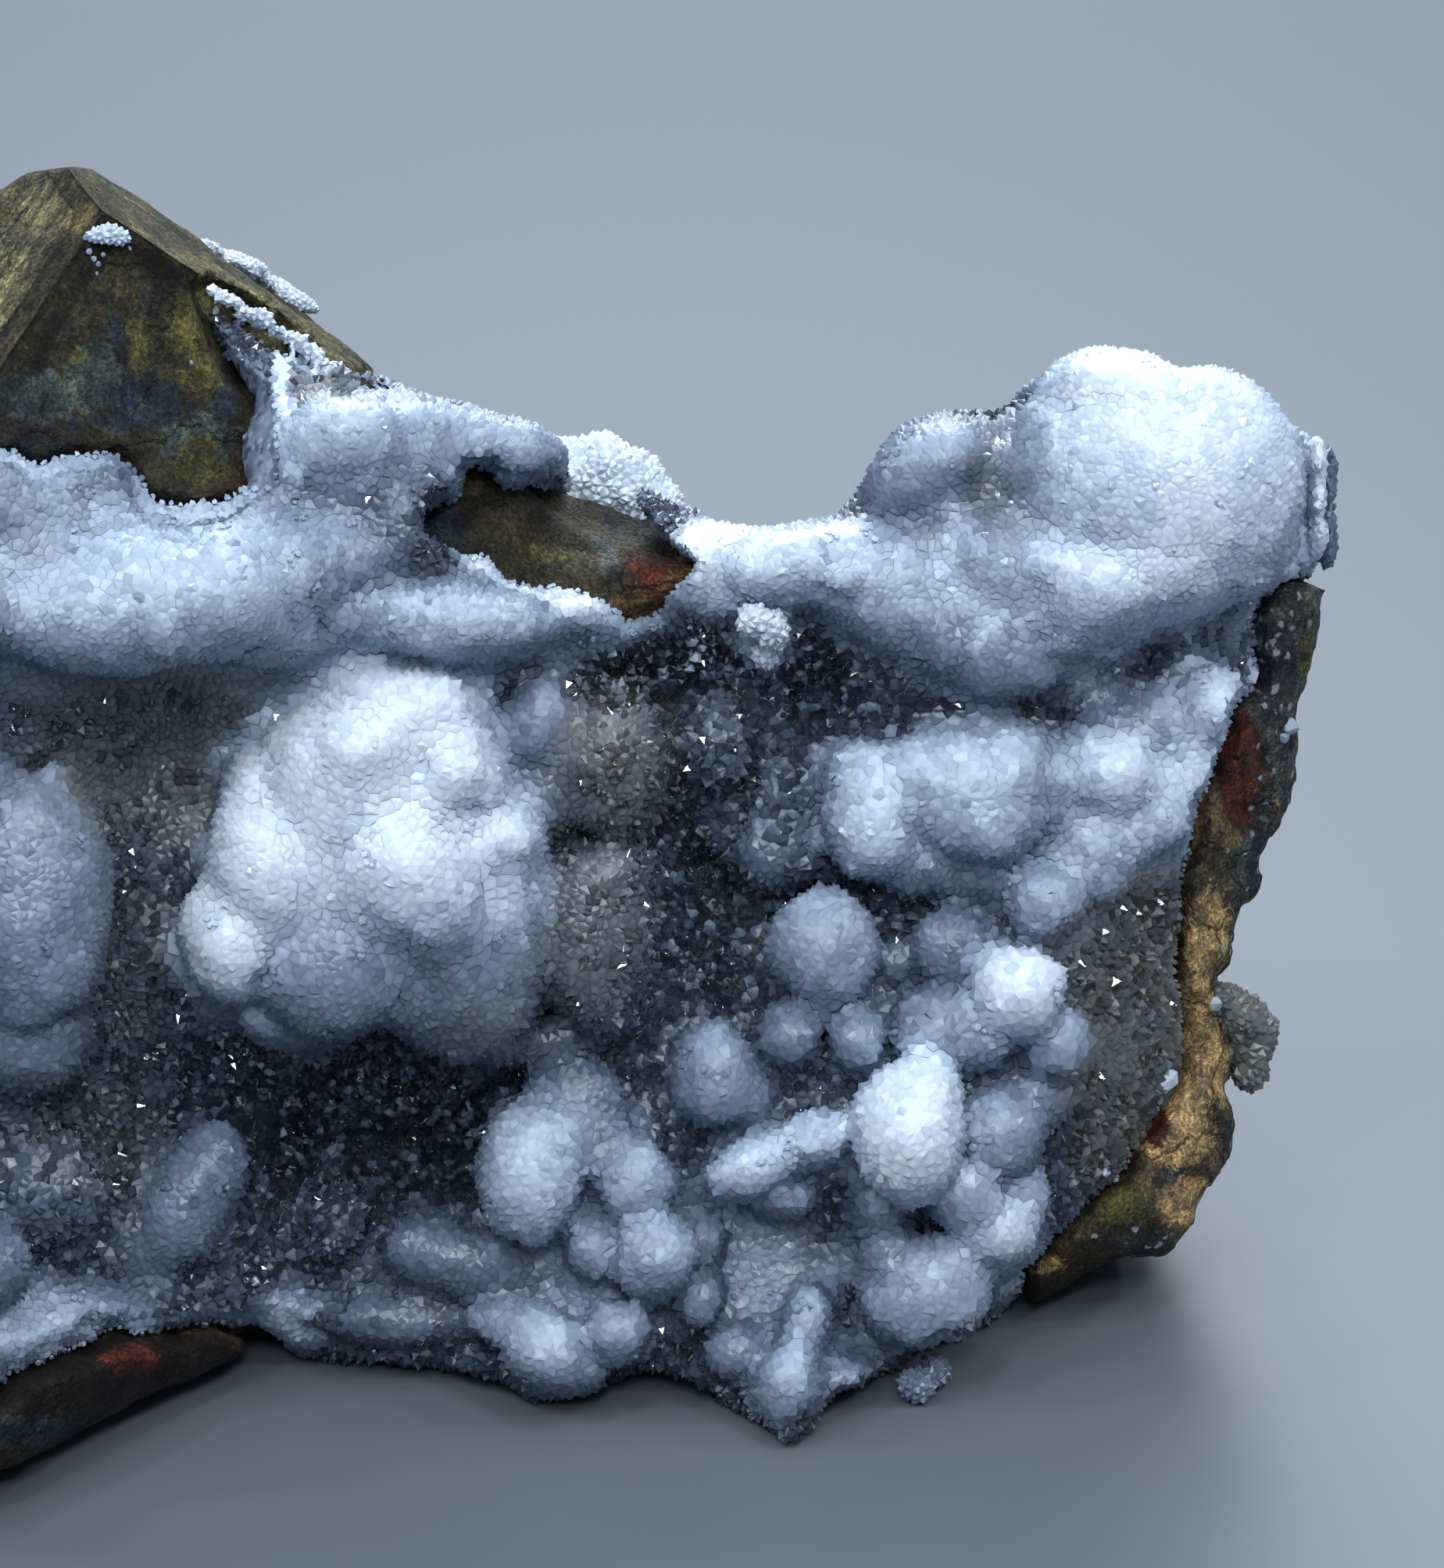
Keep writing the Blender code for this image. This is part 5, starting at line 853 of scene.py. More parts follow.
def grow(p, normal, radius, tilt=0.38, reach=1.0, prism=True):
    """Closed quartz points: a six-sided prism sunk in the surface, and a pyramid with three large and three small faces."""
    n = len(p)
    side = unit(np.cross(normal, rng.normal(size=(n, 3))))
    axis = unit(normal + side * (np.abs(rng.normal(size=n)) * tilt)[:, None])
    e1 = unit(np.cross(axis, rng.normal(size=(n, 3))))
    e2 = np.cross(axis, e1)
    stretch = 1 + 0.16 * rng.normal(size=n)
    shoulder = radius * (0.15 + 0.35 * rng.random(n)) * reach
    height = radius * (1.05 + 0.35 * rng.random(n)) * reach
    lean = rng.normal(size=(n, 2)) * 0.16
    uneven = 0.30 * rng.random(n)
    rows = []
    for level in ((0, 1) if prism else (0,)):
        for kk in range(6):
            ang = kk * math.pi / 3
            rr = radius * (0.94 if level else 1.0) * (1 + 0.07 * rng.normal(size=n))
            up = (shoulder + radius * uneven * (1 if kk % 2 else -1)) if level else -0.55 * radius
            rows.append(p + e1 * (rr * math.cos(ang) * stretch)[:, None] + e2 * (rr * math.sin(ang))[:, None] + axis * (up if level else up)[:, None])
    rows.append(p + axis * (shoulder + height)[:, None] + e1 * (lean[:, 0] * radius)[:, None] + e2 * (lean[:, 1] * radius)[:, None])
    verts = np.stack(rows, 1).reshape(-1, 3)
    per = len(rows)
    tris, quads = [], []
    top = per - 1
    ring = 6 if prism else 0
    for kk in range(6):
        nk = (kk + 1) % 6
        tris.append((ring + kk, ring + nk, top))
        if prism:
            quads.append((kk, nk, 6 + nk, 6 + kk))
    base = (np.arange(n) * per)[:, None, None]
    out = [(base + np.array(tris)[None]).reshape(-1, 3)]
    if quads:
        out.append((base + np.array(quads)[None]).reshape(-1, 4))
    out.append((base + np.array([(5, 4, 3, 2, 1, 0)])[None]).reshape(-1, 6))
    return verts, out, per


def rim_brightness(u, v):
    """Where the broken rim of the crust is bright and crumbly."""
    return blobs(u, v, 0.35, [(700, 740, 130, 60, 1.0), (870, 700, 70, 70, 0.95), (610, 640, 60, 60, 0.3), (330, 560, 60, 110, 0.95), (240, 650, 110, 40, 0.9), (60, 590, 90, 40, 0.75), (150, 1730, 200, 60, 0.5),
                             (1670, 630, 40, 100, 0.95), (1590, 880, 40, 50, 0.9), (1560, 950, 30, 60, 0.7)])


def quartz_tone(milk):
    """Colour of the quartz from clear over dark to milky white."""
    m = np.clip(milk, 0, 1)
    at = (0.0, 0.40, 0.66, 0.85, 1.0)
    rows = ((0.17, 0.41, 0.56, 0.745, 0.865), (0.20, 0.465, 0.625, 0.81, 0.92), (0.27, 0.55, 0.715, 0.895, 0.975))
    return np.stack([np.interp(m, at, row) for row in rows], 1) ** 2.2


# loose patches of quartz: lumps (u, v, depth, half width, half height, half depth), spacing, milkiness, relief, warmth
def at_face(u, v):
    return float(look_up(FACE, np.array([u], np.float32), np.array([v], np.float32))[0])


def on_front(u, v):
    return float(on_plane(PEAK_FRONT, u, v)[1])


PATCHES = {
    "back_druse_peak": ([(268 + 14.2 * k, 313 + 9.2 * k, 27.3 + 0.13 * k, 13, 5.0 + 1.2 * math.sin(2.1 * k), 1.0) for k in range(10)], 0.30, 0.92, 0.30, 0.0),
    "back_druse_ridge": ([(730, 614, 35.5, 36, 56, 2.8), (770, 612, 35.5, 42, 58, 3.2), (812, 626, 35.5, 38, 52, 3.0), (846, 648, 35.0, 28, 36, 2.4)], 0.44, 1.0, 0.95, 0.0),
    "side_druse": ([(1562, 1276, 26.0, 24, 22, 2.2), (1586, 1300, 26.2, 34, 30, 2.4), (1602, 1334, 26.5, 30, 32, 2.2), (1598, 1370, 26.5, 26, 26, 2.0), (1618, 1316, 26.8, 18, 22, 1.6)], 0.52, 0.40, 0.6, 1.3),
    "tip_chip": ([(1699, 690, 29.5, 12, 38, 1.5), (1700, 618, 29.6, 11, 42, 1.6)], 0.55, 0.40, 0.3, 0.0),
    "tip_band": ([(1681, 590, 29.0, 14, 30, 2.4), (1683, 640, 29.0, 15, 40, 2.4), (1684, 690, 29.0, 13, 28, 2.2)], 0.60, 0.97, 0.12, 0.0),
    "rim_chunk": ([(962, 792, at_face(962, 792) - 1.2, 17, 20, 1.6), (988, 806, at_face(988, 806) - 1.4, 22, 26, 2.0), (978, 838, at_face(978, 838) - 1.0, 16, 18, 1.4)], 0.48, 1.0, 0.75, 0.0),
    "ridge_seam": ([(270 + 15.0 * k, 371 + 9.3 * k + 2.5 * math.sin(2.6 * k), on_front(270 + 15.0 * k, 371 + 9.3 * k), 11, 6.0 + 1.8 * math.sin(1.7 * k + 1), 0.9) for k in range(12)], 0.40, 1.0, 0.9, 0.0),
    "lower_edge_druse": ([(1172, 1772, 7.8, 24, 22, 1.7), (1198, 1754, 9.6, 22, 20, 1.6)], 0.45, 0.55, 0.8, 0.0),
    "peak_druse_speck": ([(136, 298, 15.9, 20, 11, 0.55), (150, 306, 15.9, 12, 8, 0.5), (122, 303, 15.7, 10, 8, 0.5)], 0.30, 0.90, 0.9, 0.0),
}
# patches that are part of the big crust
CRUST_PATCHES = ("tip_band", "rim_chunk", "ridge_seam")
# single crystals on the rock: u, v, radius (px), milkiness, length
SINGLES = [
    (1493, 1383, 15, 0.95, 0.7), (1555, 1285, 12, 0.9, 1.0), (1598, 866, 13, 0.9, 1.2), (1590, 880, 9, 0.85, 1.0), (1606, 852, 8, 0.85, 1.0), (1651, 930, 12, 0.85, 1.1), (1643, 944, 8, 0.8, 1.0),
    (1480, 1420, 7, 0.6, 1.0), (1472, 1300, 8, 0.5, 1.0), (245, 465, 4, 0.7, 0.8), (1240, 1695, 16, 0.12, 1.0), (1228, 1702, 11, 0.12, 1.0), (114, 322, 4, 0.8, 1.0), (126, 338, 4, 0.7, 1.0), (110, 304, 4, 0.8, 1.0), (120, 331, 4, 0.8, 1.0), (124, 350, 3, 0.7, 1.0), (132, 326, 3, 0.8, 1.0), (166, 318, 3, 0.8, 1.0),
    (1415, 1500, 8, 0.8, 1.0), (1426, 1508, 7, 0.75, 1.0), (1560, 1262, 9, 0.5, 1.0), (1612, 1290, 8, 0.5, 1.0),
    (955, 782, 9, 0.95, 1.3), (968, 798, 11, 0.97, 1.2), (985, 790, 10, 0.97, 1.3), (1002, 802, 11, 0.95, 1.2), (975, 815, 12, 0.97, 1.1), (992, 822, 12, 0.97, 1.2), (980, 838, 10, 0.95, 1.2), (995, 845, 9, 0.95, 1.2), (948, 800, 8, 0.9, 1.2),
    (1006, 784, 8, 0.9, 1.2), (885, 820, 9, 0.95, 1.2), (890, 840, 10, 0.95, 1.1), (882, 855, 8, 0.9, 1.2), (898, 828, 7, 0.9, 1.2), (385, 1655, 9, 0.85, 1.2), (372, 1672, 10, 0.9, 1.1), (395, 1682, 9, 0.85, 1.2), (325, 1640, 7, 0.9, 1.2), (350, 1665, 8, 0.85, 1.1),
]


def patch_field(x, y, z, lumps):
    out = np.full(np.shape(x), 1e3, np.float32)
    for u, v, depth, ru, rv, rd in lumps:
        centre, axes, radii = lump_frame(place(u, v, depth), ru, rv, rd)
        out = smooth_min(out, (lump_field(x, y, z, centre, axes) - 1) * np.float32(radii.min()), 0.5)
    return np.maximum(out + 0.22 * noise(x, y, z, 1.3, 71) + 0.10 * noise(x, y, z, 0.6, 72), 0.02 - z)


def patch_pieces(name, lumps, spacing, milk, relief, warm, materials):
    cell = 0.30
    centres = np.array([place(u, v, d) for u, v, d, *_ in lumps])
    low, high = centres.min(0) - 4.5, centres.max(0) + 4.5
    axes = [np.arange(a, b, cell, dtype=np.float32) for a, b in zip(low, high)]
    gx, gy, gz = np.meshgrid(*axes, indexing="ij")
    verts, faces = largest(*surface(patch_field(gx, gy, gz, lumps), low, cell))
    bed = make_mesh(name + "_bed", verts, faces)
    sunk(bed, 0.14)
    centre = verts[faces].mean(axis=1)
    rock_field = solids(*(centre[:, i].astype(np.float32) for i in range(3)), fine=False)[0]
    skin = (rock_field > -0.5) & (centre[:, 2] > 0.1)
    p, tri, gap, area = scatter(verts, faces, skin, lambda q: spacing * (0.8 + 0.4 * rng.random(len(q))), 6000)
    flat = unit(np.cross(verts[tri[:, 1]] - verts[tri[:, 0]], verts[tri[:, 2]] - verts[tri[:, 0]]))
    away = unit(p - centres[np.argmin(((p[:, None] - centres[None]) ** 2).sum(-1), axis=1)])
    normal = unit(0.6 * flat + away)
    n = len(p)
    rise = gap * (0.25 + 0.4 * rng.random(n)) * relief
    pv, pt, vert_owner, tri_owner, rest, level = tiled(verts, faces[skin], p, normal, rise, np.full(n, 0.08), gap * 0.3 * rng.random(n))
    stand = np.unique(np.concatenate([rest, np.flatnonzero(rng.random(n) < 0.10 * relief)]))
    gv, gf, per = grow(p[stand], normal[stand], gap[stand] * (0.40 + 0.2 * rng.random(len(stand))), tilt=0.4, reach=0.4 + 0.5 * relief)
    allv = np.concatenate([pv, gv])
    allv[:, 2] = np.maximum(allv[:, 2], 0.02)
    points = make_mesh(name + "_points", allv, [pt] + [f + len(pv) for f in gf], smooth=False)
    tone = quartz_tone(np.clip(milk + 0.05 * rng.normal(size=n), 0.05, 1)) * (1 + 0.05 * rng.normal(size=n))[:, None] * (1 + warm * np.array((0.22, 0.02, -0.24)))
    # points painted darker at their feet than at their tips: partly the greyer thin quartz at their edges, partly
    # painted shade in the grooves between them
    tint(points, np.clip(np.concatenate([tone[vert_owner] * (0.84 + 0.2 * level)[:, None], np.repeat(tone[stand], per, axis=0)]), 0.02, 0.97))
    tint(bed, quartz_tone(np.full(len(verts), milk * 0.95)))
    bed.data.materials.append(materials["bed"])
    points.data.materials.append(materials["milky"] if milk > 0.7 else materials["grey"])
    for obj in (bed, points):
        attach(obj, "root")
    if name not in CRUST_PATCHES:
        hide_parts(name)


def single_crystals(rock, bed, materials):
    """Crystals set one by one where the drawing shows one."""
    trees = [BVHTree.FromObject(o, bpy.context.evaluated_depsgraph_get()) for o in (rock, bed)]
    eye = Vector(to_world(EYE))
    rows, normals, sizes, milks, longs = [], [], [], [], []
    for u, v, r, milk, long in SINGLES:
        aim = (Vector(to_world(place(u, v, 30.0))) - eye).normalized()
        hits = [h for h in (t.ray_cast(eye, aim) for t in trees) if h[0] is not None]
        if not hits:
            continue
        spot, n, _, far = min(hits, key=lambda h: h[3])
        rows.append(np.array(spot) * 1000 + np.array([*CENTRE, 0.0]))
        normals.append(unit(0.6 * np.array(n) + np.array((0.0, -0.8, 0.35))))
        sizes.append(r * UNIT * 1.02)
        milks.append(milk)
        longs.append(long)
    verts, faces, per = grow(np.array(rows), np.array(normals), np.array(sizes), tilt=0.2, reach=np.array(longs) * 0.8)
    obj = make_mesh("quartz_crystals_single", verts, faces, smooth=False)
    tint(obj, np.repeat(quartz_tone(np.array(milks)), per, axis=0))
    obj.data.materials.append(materials["grey"])
    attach(obj, "root")


# ---------------------------------------------------------------- materials
def new_material(name):
    m = bpy.data.materials.new(name)
    m.use_nodes = True
    return m, m.node_tree.nodes, m.node_tree.links, m.node_tree.nodes["Principled BSDF"]


def node(nodes, kind, x=0, y=0, **values):
    made = nodes.new(kind)
    made.location = (x, y)
    for key, value in values.items():
        if hasattr(made, key):
            setattr(made, key, value)
        else:
            made.inputs[key].default_value = value
    return made


def set_inputs(shader, **values):
    for key, value in values.items():
        shader.inputs[key.replace("_", " ")].default_value = value


def tone_node(nodes, name="tone"):
    a = nodes.new("ShaderNodeAttribute")
    a.attribute_name = name
    return a


def chips(nodes, links, vector, scale, steepness):
    """Height of small flat chips, each tilted its own way."""
    cells = node(nodes, "ShaderNodeTexVoronoi", Scale=scale)
    links.new(vector, cells.inputs["Vector"])
    off = node(nodes, "ShaderNodeVectorMath", operation="SUBTRACT")
    links.new(vector, off.inputs[0])
    links.new(cells.outputs["Position"], off.inputs[1])
    tip = node(nodes, "ShaderNodeVectorMath", operation="SUBTRACT")
    tip.inputs[1].default_value = (0.5, 0.5, 0.5)
    links.new(cells.outputs["Color"], tip.inputs[0])
    dot = node(nodes, "ShaderNodeVectorMath", operation="DOT_PRODUCT")
    links.new(off.outputs[0], dot.inputs[0])
    links.new(tip.outputs[0], dot.inputs[1])
    out = node(nodes, "ShaderNodeMath", operation="MULTIPLY")
    out.inputs[1].default_value = steepness
    links.new(dot.outputs["Value"], out.inputs[0])
    return out.outputs[0]


def plus(nodes, links, a, b):
    out = node(nodes, "ShaderNodeMath", operation="ADD")
    links.new(a, out.inputs[0])
    links.new(b, out.inputs[1])
    return out.outputs[0]


def times(nodes, links, a, factor):
    out = node(nodes, "ShaderNodeMath", operation="MULTIPLY")
    links.new(a, out.inputs[0])
    out.inputs[1].default_value = factor
    return out.outputs[0]


def multiply(nodes, links, a, b, factor=1.0):
    out = node(nodes, "ShaderNodeMix", data_type="RGBA", blend_type="MULTIPLY")
    out.inputs["Factor"].default_value = factor
    links.new(a, out.inputs[6])
    links.new(b, out.inputs[7])
    return out.outputs[2]


def scale_ramp(nodes, links, value, stops):
    out = node(nodes, "ShaderNodeValToRGB")
    e = out.color_ramp.elements
    e[0].position, e[0].color = stops[0][0], (*stops[0][1], 1)
    e[1].position, e[1].color = stops[-1][0], (*stops[-1][1], 1)
    for at, colour in stops[1:-1]:
        new = e.new(at)
        new.color = (*colour, 1)
    links.new(value, out.inputs["Fac"])
    return out.outputs["Color"]


def fade_between(nodes, links, value, start, end):
    """0 at the start, 1 at the end."""
    out = node(nodes, "ShaderNodeMapRange")
    out.inputs["From Min"].default_value, out.inputs["From Max"].default_value = start, end
    links.new(value, out.inputs["Value"])
    return out.outputs["Result"]


def product(nodes, links, a, b):
    out = node(nodes, "ShaderNodeMath", operation="MULTIPLY")
    links.new(a, out.inputs[0])
    links.new(b, out.inputs[1])
    return out.outputs[0]


def blend(nodes, links, factor, a, b):
    """Colour a, or b where the factor is 1; b is a colour or a socket."""
    out = node(nodes, "ShaderNodeMix", data_type="RGBA")
    links.new(factor, out.inputs["Factor"])
    links.new(a, out.inputs[6])
    if isinstance(b, tuple):
        out.inputs[7].default_value = (*b, 1)
    else:
        links.new(b, out.inputs[7])
    return out.outputs[2]


def rock_material():
    m, nodes, links, shader = new_material("iron_stained_rock")
    tone = tone_node(nodes)
    where = node(nodes, "ShaderNodeTexCoord").outputs["Object"]
    wobble = node(nodes, "ShaderNodeTexNoise", Scale=520.0, Detail=5.0, Roughness=0.7)
    links.new(where, wobble.inputs["Vector"])
    shift = node(nodes, "ShaderNodeVectorMath", operation="MULTIPLY_ADD")
    shift.inputs[1].default_value = (0.0016, 0.0016, 0.0016)
    links.new(wobble.outputs["Color"], shift.inputs[0])
    links.new(where, shift.inputs[2])
    bent = shift.outputs[0]
    coarse = node(nodes, "ShaderNodeTexNoise", Scale=420.0, Detail=7.0, Roughness=0.72)
    ragged = node(nodes, "ShaderNodeTexNoise", Scale=900.0, Detail=6.0, Roughness=0.75)
    fine = node(nodes, "ShaderNodeTexNoise", Scale=3600.0, Detail=4.0, Roughness=0.7)
    cracks = node(nodes, "ShaderNodeTexVoronoi", feature="DISTANCE_TO_EDGE", Scale=150.0)
    swirl = node(nodes, "ShaderNodeTexNoise", Scale=95.0, Detail=6.0, Roughness=0.62)
    links.new(where, swirl.inputs["Vector"])
    swung = node(nodes, "ShaderNodeVectorMath", operation="MULTIPLY_ADD")
    swung.inputs[1].default_value = (0.014, 0.014, 0.014)
    links.new(swirl.outputs["Color"], swung.inputs[0])
    links.new(where, swung.inputs[2])
    specks = node(nodes, "ShaderNodeTexVoronoi", Scale=1300.0)
    for t in (coarse, ragged, specks):
        links.new(bent, t.inputs["Vector"])
    links.new(swung.outputs[0], cracks.inputs["Vector"])
    links.new(where, fine.inputs["Vector"])
    # faces of the peak, each with its own colour: the ledge, the left face and the top face lighter than the front,
    # partly the rock's own colour, partly painted light on the faces turned towards the lamp
    facets = node(nodes, "ShaderNodeAttribute", attribute_name="facets")
    sides = node(nodes, "ShaderNodeSeparateXYZ")
    links.new(facets.outputs["Vector"], sides.inputs[0])
    colour = blend(nodes, links, fade_between(nodes, links, sides.outputs[1], -0.05, 0.05), tone.outputs["Color"], (0.050, 0.045, 0.027))
    colour = blend(nodes, links, fade_between(nodes, links, sides.outputs[1], 1.15, 1.30), colour, (0.108, 0.104, 0.068))
    colour = blend(nodes, links, fade_between(nodes, links, sides.outputs[2], -0.05, 0.05), colour, (0.078, 0.074, 0.036))
    # stains with ragged edges
    parts = node(nodes, "ShaderNodeSeparateColor")
    links.new(ragged.outputs["Color"], parts.inputs[0])
    off = product(nodes, links, fade_between(nodes, links, sides.outputs[1], 0.05, -0.05), fade_between(nodes, links, sides.outputs[2], 0.05, -0.05))
    paints = {"yellow": (0.062, 0.060, 0.020), "slate": (0.036, 0.050, 0.052), "navy": (0.010, 0.018, 0.030), "rust": (0.068, 0.017, 0.010), "ochre": (0.290, 0.205, 0.105), "soot": (0.024, 0.027, 0.033)}
    values = {}
    for name, kinds in (("stains_a", ("yellow", "slate", "navy")), ("stains_b", ("rust", "ochre", "soot"))):
        held = node(nodes, "ShaderNodeAttribute", attribute_name=name)
        split = node(nodes, "ShaderNodeSeparateXYZ")
        links.new(held.outputs["Vector"], split.inputs[0])
        for k, kind in enumerate(kinds):
            values[kind] = split.outputs[k]
    for k, kind in enumerate(("slate", "navy", "yellow", "ochre", "rust", "soot")):
        moved = plus(nodes, links, values[kind], times(nodes, links, parts.outputs[k % 3], 2.4))
        colour = blend(nodes, links, product(nodes, links, fade_between(nodes, links, moved, 1.62, 1.80), off), colour, paints[kind])
    # mottling, grains, cracks
    colour = multiply(nodes, links, colour, scale_ramp(nodes, links, coarse.outputs["Fac"], [(0.36, (0.38, 0.40, 0.44)), (0.46, (0.72, 0.72, 0.74)), (0.50, (1.1, 1.08, 1.0)), (0.56, (1.5, 1.42, 1.2)), (0.66, (2.4, 2.2, 1.8))]))
    colour = multiply(nodes, links, colour, scale_ramp(nodes, links, fine.outputs["Fac"], [(0.36, (0.42, 0.42, 0.44)), (0.50, (0.95, 0.95, 0.95)), (0.62, (2.0, 1.95, 1.8))]))
    healed = fade_between(nodes, links, swirl.outputs["Fac"], 0.52, 0.47)
    crack = fade_between(nodes, links, plus(nodes, links, cracks.outputs["Distance"], times(nodes, links, healed, 0.06)), 0.004, 0.040)
    colour = multiply(nodes, links, colour, scale_ramp(nodes, links, crack, [(0.0, (0.28, 0.27, 0.27)), (0.6, (0.9, 0.9, 0.9)), (1.0, (1, 1, 1))]))
    # streaks along the cleavage of the peak
    streak_at = node(nodes, "ShaderNodeAttribute", attribute_name="cleavage")
    streak = node(nodes, "ShaderNodeTexNoise", Scale=1.0, Detail=8.0, Roughness=0.74)
    links.new(streak_at.outputs["Vector"], streak.inputs["Vector"])
    fibrous = node(nodes, "ShaderNodeAttribute", attribute_name="fibrous")
    streaky = scale_ramp(nodes, links, streak.outputs["Fac"], [(0.38, (0.30, 0.29, 0.28)), (0.47, (0.75, 0.74, 0.72)), (0.53, (1.25, 1.2, 1.05)), (0.64, (2.6, 2.5, 2.0))])
    lined = node(nodes, "ShaderNodeMix", data_type="RGBA", blend_type="MULTIPLY")
    links.new(fibrous.outputs["Fac"], lined.inputs["Factor"])
    links.new(colour, lined.inputs[6])
    links.new(streaky, lined.inputs[7])
    colour = lined.outputs[2]
    # thin dark lines where the faces of the peak meet
    for k, shift_by in ((1, 0.0), (2, 0.0), (1, -1.22)):
        far = node(nodes, "ShaderNodeMath", operation="ABSOLUTE")
        moved = node(nodes, "ShaderNodeMath", operation="ADD")
        moved.inputs[1].default_value = shift_by
        links.new(sides.outputs[k], moved.inputs[0])
        links.new(moved.outputs[0], far.inputs[0])
        colour = multiply(nodes, links, colour, scale_ramp(nodes, links, fade_between(nodes, links, far.outputs[0], 0.02, 0.16), [(0.0, (0.40, 0.38, 0.36)), (1.0, (1, 1, 1))]))
    # small glassy specks, most of them in the sooty parts
    small = fade_between(nodes, links, specks.outputs["Distance"], 0.42, 0.30)
    few = fade_between(nodes, links, plus(nodes, links, specks.outputs["Color"], times(nodes, links, values["soot"], 0.42)), 0.88, 0.95)
    colour = blend(nodes, links, product(nodes, links, small, few), colour, (0.26, 0.29, 0.32))
    links.new(colour, shader.inputs["Base Color"])
    links.new(fade_between(nodes, links, fine.outputs["Fac"], 0.9, 0.25), shader.inputs["Roughness"])
    set_inputs(shader, Specular_IOR_Level=0.28)
    height = plus(nodes, links, chips(nodes, links, bent, 380.0, 0.28), chips(nodes, links, bent, 1100.0, 0.5))
    height = plus(nodes, links, height, times(nodes, links, fine.outputs["Fac"], 0.00018))
    height = plus(nodes, links, height, times(nodes, links, crack, 0.00012))
    lines = product(nodes, links, streak.outputs["Fac"], fibrous.outputs["Fac"])
    height = plus(nodes, links, height, times(nodes, links, lines, 0.0010))
    bump = node(nodes, "ShaderNodeBump", Strength=1.0, Distance=1.0)
    links.new(height, bump.inputs["Height"])
    links.new(bump.outputs["Normal"], shader.inputs["Normal"])
    return m


def bed_material():
    """Chalcedony under the points, and its broken rim."""
    m, nodes, links, shader = new_material("chalcedony_bed")
    tone = tone_node(nodes)
    where = node(nodes, "ShaderNodeTexCoord").outputs["Object"]
    fine = node(nodes, "ShaderNodeTexNoise", Scale=1500.0, Detail=6.0, Roughness=0.65)
    links.new(where, fine.inputs["Vector"])
    links.new(multiply(nodes, links, tone.outputs["Color"], scale_ramp(nodes, links, fine.outputs["Fac"], [(0.3, (0.75, 0.75, 0.75)), (0.7, (1.12, 1.12, 1.12))])), shader.inputs["Base Color"])
    set_inputs(shader, Roughness=0.35, IOR=1.544)
    bump = node(nodes, "ShaderNodeBump", Strength=1.0, Distance=1.0)
    links.new(chips(nodes, links, where, 2200.0, 0.8), bump.inputs["Height"])
    links.new(bump.outputs["Normal"], shader.inputs["Normal"])
    return m


def points_material(name, transmission, roughness):
    m, nodes, links, shader = new_material(name)
    tone = tone_node(nodes)
    links.new(tone.outputs["Color"], shader.inputs["Base Color"])
    set_inputs(shader, Roughness=roughness, IOR=1.544, Transmission_Weight=transmission, Specular_IOR_Level=0.8 if roughness < 0.1 else 0.5)
    return m


